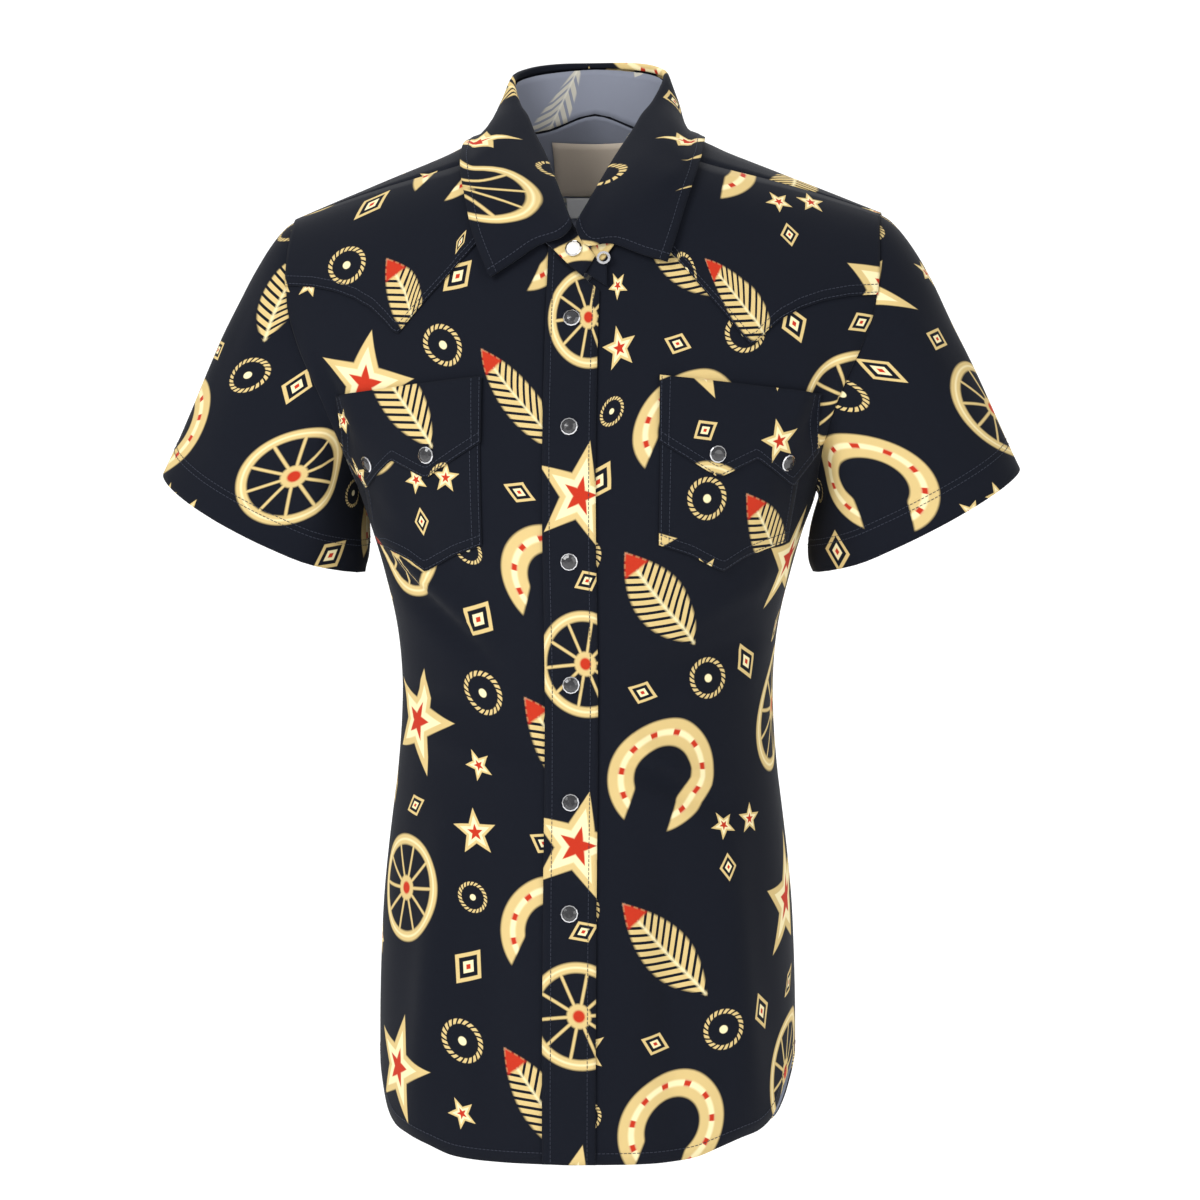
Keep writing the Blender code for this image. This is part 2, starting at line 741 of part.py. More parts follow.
def turned(name, profile, place, normal, colour, roughness, metallic, closed):
    """A piece turned round an axis: a profile of radius and height, set at a place along a normal."""
    mesh = bmesh.new()
    turn = Vector((0, 0, 1)).rotation_difference(normal)
    rings = []
    for radius, height in profile:
        if radius == 0:
            rings.append([mesh.verts.new(place + turn @ Vector((0, 0, height)))])
            continue
        ring = []
        for k in range(SNAP_SIDES):
            angle = 2 * math.pi * k / SNAP_SIDES
            spot = Vector((radius * math.cos(angle), radius * math.sin(angle), height))
            ring.append(mesh.verts.new(place + turn @ spot))
        rings.append(ring)
    pairs = list(zip(rings, rings[1:])) + ([(rings[-1], rings[0])] if closed else [])
    for low, high in pairs:
        for k in range(SNAP_SIDES):
            n = (k + 1) % SNAP_SIDES
            if len(low) == 1:
                mesh.faces.new((low[0], high[n], high[k]))
            elif len(high) == 1:
                mesh.faces.new((low[k], low[n], high[0]))
            else:
                mesh.faces.new((low[k], low[n], high[n], high[k]))
    return finish(name, mesh, colour, roughness, metallic)


def seat(cloth, x, z):
    """Where a snap's base sits on a piece of cloth: its place, clear of every facet under it, and the way out."""
    tree = BVHTree.FromObject(cloth, bpy.context.evaluated_depsgraph_get())
    inward = Vector((0, 1, 0))
    centre, normal, _, _ = tree.ray_cast(Vector((x, -0.5, z)), inward)
    total = normal.copy()
    for k in range(SNAP_SIDES):
        angle = 2 * math.pi * k / SNAP_SIDES
        start = Vector((x + RING_OUTER * math.cos(angle), -0.5, z + RING_OUTER * math.sin(angle)))
        hit, other, _, _ = tree.ray_cast(start, inward)
        if hit and abs(hit.y - centre.y) < RING_OUTER:
            total += other
    normal = total.normalized()
    turn = Vector((0, 0, 1)).rotation_difference(normal)
    rise = 0.0
    for k in range(SNAP_SIDES):
        for radius in (RING_OUTER, RING_OUTER / 2):
            angle = 2 * math.pi * k / SNAP_SIDES
            spot = centre + turn @ Vector((radius * math.cos(angle), radius * math.sin(angle), 0))
            hit = tree.ray_cast(spot + normal * 0.05, -normal)[0]
            if hit:
                rise = max(rise, (hit - centre).dot(normal))
    return centre + normal * (rise + SNAP_GAP), normal.copy()


def snap(name, cloth, x, z, colour=(0.012, 0.012, 0.014, 1)):
    place, normal = seat(cloth, x, z)
    ring = ((RING_INNER, 0), (RING_OUTER, 0), (RING_OUTER, RING_HEIGHT * 0.6), (RING_INNER, RING_HEIGHT))
    turned("ring_" + name, ring, place, normal, (0.62, 0.62, 0.63, 1), 0.25, 1.0, True)
    cap = ((0, 0), (CAP_RADIUS, 0), (CAP_RADIUS, CAP_HEIGHT * 0.45), (CAP_RADIUS * 0.62, CAP_HEIGHT * 0.85),
           (0, CAP_HEIGHT))
    turned("cap_" + name, cap, place, normal, colour, 0.18, 0.0, False)


def socket(name, cloth, x, z):
    place, normal = seat(cloth, x, z)
    ring = ((0.0030, 0.0003), (0.0052, 0.0003), (0.0050, 0.0014), (0.0032, 0.0014))
    turned(name, ring, place, normal, (0.66, 0.66, 0.67, 1), 0.28, 1.0, True)


# ---------------------------------------------------------------- the shirt


def make_shirt():
    grids, normals = make_panels()
    flaps = pieces_on_fronts(grids, normals)
    back_yoke(grids, normals)
    band = placket(grids["front_left"])
    bpy.context.view_layer.update()
    for side, cover in flaps.items():
        for number, (x, z) in enumerate(FLAP_SNAPS, 1):
            snap(("flap_left_" if side > 0 else "flap_right_") + str(number), cover, x * side, z)
    for number, level in enumerate(SNAP_LEVELS, 1):
        snap("front_" + str(number), band, 0.0, level)
    columns = collar_columns()
    stand = collar_stand(columns)
    collar_leaf(columns)
    bpy.context.view_layer.update()
    snap("stand", stand, 0.0000, -0.0690, colour=(0.82, 0.80, 0.76, 1))
    socket("socket_stand", stand, 0.0215, -0.0760)
    back = bpy.data.objects["back"]
    inside_label("label", back, LABEL, (0.55, 0.47, 0.38, 1))
    inside_label("size_tab", back, SIZE_TAB, (0.85, 0.85, 0.85, 1))


for old in list(bpy.data.objects):
    bpy.data.objects.remove(old, do_unlink=True)
make_shirt()
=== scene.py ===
# %% [markdown]
# # A worn western snap shirt
# The shirt keeps the hollow shape of its wearer. The solid model gives every piece its size and place.
# This script dresses those pieces: finer cloth with creases, a printed cotton, stitching, snaps and light.

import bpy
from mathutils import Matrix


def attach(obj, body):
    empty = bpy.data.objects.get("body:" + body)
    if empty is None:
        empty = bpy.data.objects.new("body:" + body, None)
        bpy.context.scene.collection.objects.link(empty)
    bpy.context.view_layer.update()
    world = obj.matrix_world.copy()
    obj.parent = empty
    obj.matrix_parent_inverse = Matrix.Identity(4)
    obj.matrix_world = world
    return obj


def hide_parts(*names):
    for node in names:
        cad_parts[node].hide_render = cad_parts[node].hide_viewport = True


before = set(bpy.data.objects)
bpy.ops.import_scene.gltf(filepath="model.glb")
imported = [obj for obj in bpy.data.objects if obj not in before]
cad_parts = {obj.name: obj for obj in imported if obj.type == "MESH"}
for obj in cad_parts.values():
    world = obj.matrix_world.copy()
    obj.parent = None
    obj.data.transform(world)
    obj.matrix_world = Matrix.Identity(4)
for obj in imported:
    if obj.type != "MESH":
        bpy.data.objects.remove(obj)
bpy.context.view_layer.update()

import math

import bmesh
import bpy
from mathutils import Vector, noise
from mathutils.bvhtree import BVHTree

print("solid pieces:", len(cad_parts))

# %% [markdown]
# ## The body surface
# A shirt on a body is one smooth surface, cut up by seams. A table of half widths and depths, read by a
# smooth curve, describes it with few numbers. Sculpting would give the same form but no way to check it.
# The tables match the solid model, so the cloth stays where the solid walls are.

# %% Sizes of the cloth
NECK_SEAM = 0.0005
SEAM = 0.0003
WALL = 0.0011

# The torso's levels
UNDERARM = -0.240
HEM_START = -0.500
SHOULDER_X = 0.2155
NECK_X = 0.072
NECK_FRONT = -0.080
LEFT_NECK_DROOP = 0.026

# How many steps each grid takes
ARM_ROWS = 9
BACK_ARM_ROWS = 10
HEM_ROWS = 4
SLEEVE_ROWS = 8
LEVELS = (-0.270, -0.300, -0.335, -0.370, -0.405, -0.440, -0.470)

# Half widths and depths of the body, from the neck down
# Each row: z, width, front, back
TORSO = (
    (0.080, 0.300, 0.062, 0.060),
    (0.050, 0.300, 0.068, 0.064),
    (0.000, 0.290, 0.078, 0.080),
    (-0.070, 0.270, 0.088, 0.105),
    (-0.120, 0.245, 0.105, 0.120),
    (-0.160, 0.222, 0.115, 0.123),
    (-0.200, 0.194, 0.122, 0.122),
    (-0.235, 0.171, 0.1245, 0.119),
    (-0.270, 0.158, 0.1235, 0.113),
    (-0.310, 0.1465, 0.119, 0.107),
    (-0.345, 0.139, 0.113, 0.1015),
    (-0.385, 0.1365, 0.108, 0.098),
    (-0.430, 0.1385, 0.1095, 0.100),
    (-0.470, 0.143, 0.112, 0.106),
    (-0.530, 0.1495, 0.118, 0.120),
    (-0.600, 0.1525, 0.122, 0.130),
    (-0.670, 0.1528, 0.1245, 0.132),
    (-0.760, 0.1528, 0.125, 0.131),
)
SECTION_POWER = 2.25
SHOULDER_POWER = 2.2
SHOULDER_ROUND = 0.100

# The armhole's distance from the middle, down to the underarm
# Each row: z, x
ARMHOLE = (
    (0.000, 0.2155),
    (-0.040, 0.2155),
    (-0.090, 0.2160),
    (-0.130, 0.2110),
    (-0.160, 0.1990),
    (-0.190, 0.1870),
    (-0.215, 0.1790),
    (UNDERARM, 0.1690),
)

# The shirt-tail hem's depth, by the angle round from the middle of the front or the back
# Each row: angle, front, back
HEM = (
    (0, 0.720, 0.735),
    (30, 0.717, 0.732),
    (45, 0.706, 0.722),
    (62, 0.694, 0.703),
    (72, 0.672, 0.677),
    (82, 0.654, 0.655),
    (90, 0.648, 0.648),
)

# The neckline's w on the back, from the middle to the end of the forward seam
# Each row: x, w
NECK_BACK = ((0.0, 0.173), (0.034, 0.125), (0.055, 0.075), (0.0645, 0.020), (0.0695, -0.070), (0.072, -0.147))

# Lower edges of the yokes, by the distance from the middle
FRONT_YOKE = (
    (0.000, 0.000),
    (0.052, -0.044),
    (0.074, -0.066),
    (0.095, -0.090),
    (0.112, -0.110),
    (0.128, -0.130),
    (0.138, -0.119),
    (0.148, -0.110),
    (0.162, -0.102),
    (0.178, -0.096),
    (0.196, -0.092),
    (0.230, -0.089),
)
FRONT_YOKE_SAG = {-1: 0.0, 1: 0.010}
BACK_YOKE = (
    (0.000, -0.140),
    (0.025, -0.128),
    (0.050, -0.118),
    (0.080, -0.109),
    (0.110, -0.103),
    (0.150, -0.098),
    (0.230, -0.094),
)

# %% Reading the tables
def column(rows, index):
    """A smooth curve through one column of a table, read by the first column."""
    keys = [row[0] for row in rows]
    values = [row[index] for row in rows]
    rising = keys[-1] > keys[0]
    slopes = []
    for i in range(len(keys)):
        low, high = max(i - 1, 0), min(i + 1, len(keys) - 1)
        slopes.append((values[high] - values[low]) / (keys[high] - keys[low]))

    def read(key):
        key = min(max(key, min(keys)), max(keys))
        i = 0
        while i < len(keys) - 2 and (key > keys[i + 1] if rising else key < keys[i + 1]):
            i += 1
        span = keys[i + 1] - keys[i]
        u = (key - keys[i]) / span
        return (
            values[i] * (2 * u**3 - 3 * u**2 + 1)
            + slopes[i] * span * (u**3 - 2 * u**2 + u)
            + values[i + 1] * (3 * u**2 - 2 * u**3)
            + slopes[i + 1] * span * (u**3 - u**2)
        )

    return read


half_width = column(TORSO, 1)
depth = {-1: column(TORSO, 2), 1: column(TORSO, 3)}
armhole_x = column(ARMHOLE, 1)
hem_depth = {-1: column(HEM, 1), 1: column(HEM, 2)}


def mix(a, b, u):
    return a + (b - a) * u


def ridge(x):
    """Height of the shoulder's top line."""
    near_neck = max(0.0, 1 - abs(x) / 0.110)
    return 0.022 - 0.40 * (abs(x) - 0.066) + 0.025 * near_neck**2


def forward_drop(x):
    """How far below the shoulder's top line the forward shoulder seam runs."""
    return 0.0025 + 0.0185 * (max(0.0, SHOULDER_X - abs(x)) / (SHOULDER_X - 0.075)) ** 1.5


def torso(x, z, side):
    """The point of the body's surface at x and z, on the front (-1) or the back (1)."""
    share = min(1.0, abs(x) / half_width(z))
    across = (1 - share**SECTION_POWER) ** (1 / SECTION_POWER)
    drop = min(1.0, max(0.0, ridge(x) - z) / SHOULDER_ROUND)
    rounded = (1 - (1 - drop) ** SHOULDER_POWER) ** (1 / SHOULDER_POWER)
    return Vector((x, side * depth[side](z) * across * rounded, z))


def over(x, w):
    """The body's surface by x and w, a distance that runs from the front (w < 0) over the shoulder to the back."""
    return torso(x, ridge(x) - w * w, -1 if w < 0 else 1)


def body_normal(x, w):
    """The way out of the body's surface at x and w."""
    step = 0.002
    across = over(x + step, w) - over(x - step, w)
    down = over(x, w + step) - over(x, w - step)
    normal = across.cross(down).normalized()
    return normal if normal.dot(Vector((0, w, 0.05))) > 0 else -normal


def neck_front_z(x, droop=0.0):
    """The neckline's height on the front. Past the centre it runs on down, under the placket."""
    corner = ridge(NECK_X) - forward_drop(NECK_X)
    rise = (min(abs(x), NECK_X) / NECK_X) ** 1.35
    sag = droop * max(0.0, 1 - max(x, 0.0) / 0.045) - 0.5 * min(x, 0.0)
    return mix(NECK_FRONT, corner, rise) - sag


neck_back_w = column(NECK_BACK, 1)


def hem_z(x, side):
    share = min(1.0, abs(x) / half_width(-0.70))
    return -hem_depth[side](math.degrees(math.asin(share ** (SECTION_POWER / 2))))


# %% [markdown]
# ## Panels as grids
# A cut panel is a grid of points: rows run level, columns run down the body. A coarse grid is easy to
# place on seams, and a curve through its points then fills in the fine cloth.

# %% Columns of the panels
# Columns of the panels: x along the neckline and along the shoulder seam, for one side
SHOULDER_COLUMNS = (NECK_X, 0.090, 0.108, 0.130, 0.153, 0.177, 0.199, SHOULDER_X)
FRONT_NECK = (0.033, 0.054, 0.066)
BACK_NECK = (0.0, 0.034, 0.055, 0.0645, 0.0695)
LEFT_EDGE = (-0.0165, 0.0, 0.0190)
RIGHT_EDGE = (0.0175,)


# %% Grid helpers
def grid_normals(grid, wrap=False):
    """A unit normal for each point of a grid, from its neighbours."""
    rows, cols = len(grid), len(grid[0])
    normals = []
    for i in range(rows):
        line = []
        for j in range(cols):
            left = grid[i][(j - 1) % cols] if wrap else grid[i][max(j - 1, 0)]
            right = grid[i][(j + 1) % cols] if wrap else grid[i][min(j + 1, cols - 1)]
            down = grid[min(i + 1, rows - 1)][j] - grid[max(i - 1, 0)][j]
            line.append((right - left).cross(down).normalized())
        normals.append(line)
    return normals


def facing(normals, grid, centre):
    """Turns the normals so that they point away from the centre line."""
    i, j = len(grid) // 2, len(grid[0]) // 2
    away = grid[i][j] - Vector((centre[0], centre[1], grid[i][j].z))
    if normals[i][j].dot(away) < 0:
        return [[-n for n in line] for line in normals]
    return normals


def moved(grid, normals, distance):
    return [[p + n * distance for p, n in zip(line, ns)] for line, ns in zip(grid, normals)]


def bottom_share(j, count):
    """The share of the half width at column j, even in angle round the section."""
    return math.sin(math.pi / 2 * j / count) ** (2 / SECTION_POWER)


def lower_rows(places, side):
    """The rows below the underarm: level to the hip, then spread down to the hem."""
    rows = []
    for level in LEVELS + (HEM_START,):
        rows.append([torso(place(level), level, side) for place in places])
    for step in range(1, HEM_ROWS + 1):
        row = []
        for place in places:
            z = mix(HEM_START, hem_z(place(-0.60), side), step / HEM_ROWS)
            row.append(torso(place(z), z, side))
        rows.append(row)
    return rows


def panel(tops, starts, fixed, count, side):
    """A panel's grid: tops are the columns' x at the top, starts their w, and the first fixed ones keep their x."""
    moving = len(tops) - fixed
    shares = [bottom_share(j + 1, moving) for j in range(moving)]
    rows = []
    for i in range(count + 1):
        v = i / count
        outer_end = side * math.sqrt(ridge(half_width(UNDERARM)) - UNDERARM)
        outer_w = mix(starts[-1], outer_end, v)
        outer_x = armhole_x(ridge(0.213) - outer_w**2) if i < count else half_width(UNDERARM)
        row = []
        for j, (top, start) in enumerate(zip(tops, starts)):
            x = top if j < fixed else mix(top / SHOULDER_X, shares[j - fixed], v) * outer_x
            row.append(over(x, mix(start, side * math.sqrt(ridge(x) - UNDERARM), v)))
        rows.append(row)
    places = [lambda z, top=top: top for top in tops[:fixed]]
    places += [lambda z, share=share: share * half_width(z) for share in shares]
    return rows + lower_rows(places, side)


def front_grid(edge, droop):
    """The grid of one front, in mirrored coordinates: x grows from the centre edge to the side."""
    tops = edge + FRONT_NECK + SHOULDER_COLUMNS
    starts = []
    for x in tops:
        drop = ridge(x) - neck_front_z(x, droop) if x < NECK_X else forward_drop(x)
        starts.append(-math.sqrt(drop))
    return panel(tops, starts, len(edge), ARM_ROWS, -1)


def back_half():
    """The grid of half the back, from the middle to the side, over the shoulder to the forward seam."""
    tops = BACK_NECK + SHOULDER_COLUMNS
    starts = [neck_back_w(x) if x < NECK_X else -math.sqrt(forward_drop(x)) for x in tops]
    return panel(tops, starts, 1, BACK_ARM_ROWS, 1)


def mirror(grid):
    """The other side of a grid, in x."""
    return [[Vector((-p.x, p.y, p.z)) for p in line] for line in grid]


def whole_back():
    half = back_half()
    return [list(reversed(other))[:-1] + line for other, line in zip(mirror(half), half)]


# %% Filling in a coarse grid
def smooth_line(points, steps, ring=False):
    """A smooth curve through points, with this many steps for each gap."""
    count = len(points)
    filled = []
    for i in range(count if ring else count - 1):
        b, c = points[i], points[(i + 1) % count]
        a = points[i - 1] if ring or i > 0 else b * 2 - c
        d = points[(i + 2) % count] if ring or i + 2 < count else c * 2 - b
        for k in range(steps):
            u = k / steps
            filled.append(
                0.5 * ((2 * b) + (c - a) * u + (2 * a - 5 * b + 4 * c - d) * u**2 + (3 * b - a - 3 * c + d) * u**3)
            )
    return filled if ring else filled + [points[-1].copy()]


def refined(grid, down, across, ring=False):
    lines = [smooth_line(line, across, ring) for line in grid]
    columns = [smooth_line([line[j] for line in lines], down) for j in range(len(lines[0]))]
    return [[column_points[i] for column_points in columns] for i in range(len(columns[0]))]


# %% [markdown]
# ## Creases
# Worn cloth never lies smooth. It folds deeply where the arm meets the chest, and pulls into slanting
# drags above the waist. Each crease here is a line on the front or back with a width and a depth, placed
# one by one, so each one differs. A cloth simulation would move the seams off the solid walls.

# %% The creases: side, line from x, z to x, z, width, depth (plus is outwards)
CREASES = (
    (-1, 0.186, -0.150, 0.150, -0.235, 0.0085, -0.0075),
    (-1, 0.200, -0.140, 0.176, -0.215, 0.0080, 0.0060),
    (-1, 0.168, -0.170, 0.128, -0.262, 0.0110, 0.0050),
    (-1, -0.188, -0.150, -0.152, -0.240, 0.0085, -0.0075),
    (-1, -0.202, -0.135, -0.178, -0.220, 0.0080, 0.0060),
    (-1, -0.166, -0.180, -0.120, -0.275, 0.0110, 0.0045),
    (-1, -0.150, -0.262, -0.060, -0.345, 0.0100, 0.0075),
    (-1, -0.140, -0.290, -0.055, -0.372, 0.0085, -0.0065),
    (-1, 0.142, -0.300, 0.055, -0.352, 0.0100, 0.0045),
    (-1, 0.134, -0.345, 0.040, -0.388, 0.0090, -0.0040),
    (-1, 0.030, -0.415, 0.092, -0.450, 0.0070, 0.0065),
    (-1, 0.034, -0.432, 0.110, -0.472, 0.0075, -0.0060),
    (-1, -0.030, -0.440, -0.105, -0.420, 0.0085, 0.0040),
    (-1, -0.135, -0.385, -0.050, -0.405, 0.0090, -0.0040),
    (-1, -0.090, -0.480, -0.112, -0.700, 0.0150, 0.0080),
    (-1, -0.052, -0.520, -0.060, -0.720, 0.0180, -0.0045),
    (-1, 0.068, -0.500, 0.078, -0.720, 0.0160, -0.0070),
    (-1, 0.108, -0.490, 0.124, -0.690, 0.0140, 0.0075),
    (1, 0.180, -0.130, 0.120, -0.260, 0.0120, 0.0060),
    (1, 0.190, -0.160, 0.148, -0.280, 0.0090, -0.0060),
    (1, -0.182, -0.130, -0.126, -0.255, 0.0120, 0.0060),
    (1, -0.190, -0.165, -0.145, -0.290, 0.0090, -0.0060),
    (1, -0.020, -0.290, 0.085, -0.330, 0.0110, 0.0045),
    (1, 0.030, -0.320, -0.090, -0.365, 0.0100, -0.0045),
    (1, -0.060, -0.380, 0.060, -0.400, 0.0090, 0.0050),
    (1, 0.100, -0.395, 0.000, -0.430, 0.0090, -0.0040),
    (1, -0.105, -0.430, 0.010, -0.455, 0.0090, 0.0040),
    (1, 0.070, -0.500, 0.090, -0.720, 0.0180, 0.0060),
    (1, -0.030, -0.480, -0.045, -0.720, 0.0180, -0.0055),
    (1, -0.100, -0.500, -0.110, -0.700, 0.0160, 0.0055),
)
SNAP_SPOTS = ((0.1040, -0.2165), (0.1515, -0.2215))
SNAP_CALM = 0.030
SEAM_CALM = 0.016
PLACKET_CALM = 0.022


def crease_height(point, side):
    """How far the cloth stands off the smooth body at a point, less near seams and under the placket."""
    height = noise.noise(point * 17) * 0.0016
    for crease_side, x1, z1, x2, z2, width, depth_out in CREASES:
        if crease_side != side:
            continue
        dx, dz = x2 - x1, z2 - z1
        u = ((point.x - x1) * dx + (point.z - z1) * dz) / (dx * dx + dz * dz)
        near = min(1.0, max(0.0, u))
        away = math.hypot(point.x - x1 - near * dx, point.z - z1 - near * dz)
        taper = math.sin(math.pi * (0.08 + 0.84 * near)) ** 0.7
        height += depth_out * taper * math.exp(-((away / width) ** 2))
    edge = armhole_x(point.z) if point.z > UNDERARM else half_width(point.z)
    height *= min(1.0, max(0.0, (edge - abs(point.x)) / SEAM_CALM))
    if side < 0:
        height *= min(1.0, max(0.0, (abs(point.x) - 0.017) / PLACKET_CALM))
        nearest = min(math.hypot(abs(point.x) - x, point.z - z) for x, z in SNAP_SPOTS)
        height *= min(1.0, (nearest / SNAP_CALM) ** 2)
    top = ridge(point.x) - 0.030
    return height * min(1.0, max(0.0, (top - point.z) / 0.030))


def creased(grid, normals, side):
    return [
        [p + n * crease_height(p, side) for p, n in zip(line, ns)]
        for line, ns in zip(grid, normals)
    ]


# %% [markdown]
# ## The print
# The cotton has a dark navy ground with straw and cream figures and red accents. The figures are this
# maker's own: horseshoes, stars, wagon wheels, feathers and lozenges. Each one is worked out from
# distances and angles, so it stays sharp at any size, where a picture would blur.

# %% A helper that chains math nodes
class Sums:
    def __init__(self, tree):
        self.tree = tree

    def __call__(self, operation, *values):
        node = self.tree.nodes.new("ShaderNodeMath")
        node.operation = operation
        for socket, value in zip(node.inputs, values):
            if isinstance(value, (int, float)):
                socket.default_value = value
            else:
                self.tree.links.new(value, socket)
        return node.outputs[0]

    def inside(self, value, limit):
        """1 where value is under limit, with a soft edge."""
        return self("SMOOTH_MIN", 1.0, self("MAXIMUM", 0.0, self("MULTIPLY", self("SUBTRACT", limit, value), 25.0)), 0.0)


def figure_group(name, draw):
    """A node group: a place in the figure's own units goes in, and three masks come out."""
    group = bpy.data.node_groups.new(name, "ShaderNodeTree")
    group.interface.new_socket("Place", in_out="INPUT", socket_type="NodeSocketVector")
    for mask in ("Straw", "Cream", "Red"):
        group.interface.new_socket(mask, in_out="OUTPUT", socket_type="NodeSocketFloat")
    start = group.nodes.new("NodeGroupInput")
    end = group.nodes.new("NodeGroupOutput")
    split = group.nodes.new("ShaderNodeSeparateXYZ")
    group.links.new(start.outputs[0], split.inputs[0])
    sums = Sums(group)
    x, y = split.outputs[0], split.outputs[1]
    radius = sums("SQRT", sums("ADD", sums("MULTIPLY", x, x), sums("MULTIPLY", y, y)))
    turn = sums("DIVIDE", sums("ARCTAN2", x, y), 2 * math.pi)
    for socket, mask in zip(end.inputs, draw(sums, x, y, radius, turn)):
        if isinstance(mask, (int, float)):
            socket.default_value = mask
        else:
            group.links.new(mask, socket)
    return group


# %% The figures
def star(sums, x, y, radius, turn):
    fold = sums("PINGPONG", sums("MULTIPLY", turn, 5.0), 0.5)
    angle = sums("MULTIPLY", fold, 2 * math.pi / 5)
    outer, inner, spread = 0.98, 0.43, math.pi / 5
    near_tip = sums("MULTIPLY", sums("SINE", angle), outer)
    near_notch = sums("MULTIPLY", sums("SINE", sums("SUBTRACT", spread, angle)), inner)
    edge = sums("DIVIDE", outer * inner * math.sin(spread), sums("ADD", near_tip, near_notch))
    return (sums.inside(radius, edge), sums.inside(radius, sums("MULTIPLY", edge, 0.70)),
            sums.inside(radius, sums("MULTIPLY", edge, 0.38)))


def horseshoe(sums, x, y, radius, turn):
    gap = sums.inside(sums("MAXIMUM", sums("MULTIPLY", y, 1.0), sums("SUBTRACT", sums("ABSOLUTE", x), 0.42)), 0.0)
    solid = sums("SUBTRACT", 1.0, gap)
    band = sums.inside(sums("ABSOLUTE", sums("SUBTRACT", radius, 0.72)), 0.24)
    groove = sums.inside(sums("ABSOLUTE", sums("SUBTRACT", radius, 0.72)), 0.07)
    nails = sums.inside(sums("PINGPONG", sums("MULTIPLY", turn, 11.0), 0.5), 0.16)
    return (sums("MULTIPLY", band, solid), sums("MULTIPLY", groove, solid),
            sums("MULTIPLY", sums("MULTIPLY", groove, nails), solid))


def wheel(sums, x, y, radius, turn):
    rim = sums.inside(sums("ABSOLUTE", sums("SUBTRACT", radius, 0.86)), 0.11)
    bright = sums.inside(sums("ABSOLUTE", sums("SUBTRACT", radius, 0.86)), 0.035)
    spoke = sums.inside(sums("MULTIPLY", sums("PINGPONG", sums("MULTIPLY", turn, 10.0), 0.5), radius), 0.062)
    spokes = sums("MULTIPLY", spoke, sums.inside(radius, 0.84))
    hub = sums.inside(radius, 0.24)
    return sums("MAXIMUM", rim, sums("MAXIMUM", spokes, hub)), bright, sums.inside(radius, 0.13)


def feather(sums, x, y, radius, turn):
    side = sums("ABSOLUTE", x)
    blade = sums("SUBTRACT", sums("MULTIPLY", sums("SUBTRACT", 1.0, sums("MULTIPLY", y, y)), 0.34), side)
    vane = sums.inside(0.0, blade)
    barbs = sums.inside(sums("PINGPONG", sums("MULTIPLY", sums("SUBTRACT", y, sums("MULTIPLY", side, 0.9)), 7.0), 0.5), 0.33)
    quill = sums("MULTIPLY", sums.inside(side, 0.035), sums.inside(sums("ABSOLUTE", y), 0.98))
    tip = sums("MULTIPLY", vane, sums.inside(0.62, y))
    return sums("MULTIPLY", vane, barbs), quill, tip


def lozenge(sums, x, y, radius, turn):
    reach = sums("ADD", sums("MULTIPLY", sums("ABSOLUTE", x), 1.5), sums("ABSOLUTE", y))
    ring = sums.inside(sums("ABSOLUTE", sums("SUBTRACT", reach, 0.80)), 0.15)
    return ring, sums.inside(reach, 0.40), sums.inside(reach, 0.18)


def rope(sums, x, y, radius, turn):
    band = sums.inside(sums("ABSOLUTE", sums("SUBTRACT", radius, 0.80)), 0.12)
    twist = sums.inside(sums("PINGPONG", sums("ADD", sums("MULTIPLY", turn, 22.0), sums("MULTIPLY", radius, 3.0)), 0.5), 0.34)
    return sums("MULTIPLY", band, twist), sums.inside(radius, 0.20), 0.0


GROUPS = {f.__name__: figure_group(f.__name__ + "_figure", f) for f in (star, horseshoe, wheel, feather, lozenge, rope)}
print("figures in the print:", ", ".join(GROUPS))

# %% [markdown]
# ## Laying the figures out
# A printed cloth repeats. One tile of a quarter metre holds large and small figures at uneven angles,
# and the cloth's own flat coordinates, in metres, repeat that tile.

# %% One repeat of the print: figure, centre x and y, size, turn in degrees
REPEAT = 0.250
LAYOUT = (
    ("horseshoe", 0.056, 0.060, 0.042, 24),
    ("wheel", 0.182, 0.070, 0.040, 10),
    ("feather", 0.060, 0.186, 0.050, -38),
    ("star", 0.186, 0.190, 0.042, 12),
    ("lozenge", 0.119, 0.026, 0.018, 30),
    ("star", 0.120, 0.122, 0.018, -14),
    ("rope", 0.018, 0.122, 0.016, 0),
    ("lozenge", 0.232, 0.128, 0.016, -20),
    ("rope", 0.122, 0.222, 0.017, 0),
    ("star", 0.122, 0.170, 0.012, 40),
    ("star", 0.236, 0.016, 0.012, 8),
    ("lozenge", 0.012, 0.236, 0.011, 0),
    ("rope", 0.118, 0.076, 0.012, 0),
    ("star", 0.012, 0.016, 0.011, -22),
    ("lozenge", 0.180, 0.130, 0.013, 62),
    ("lozenge", 0.068, 0.122, 0.013, -64),
)


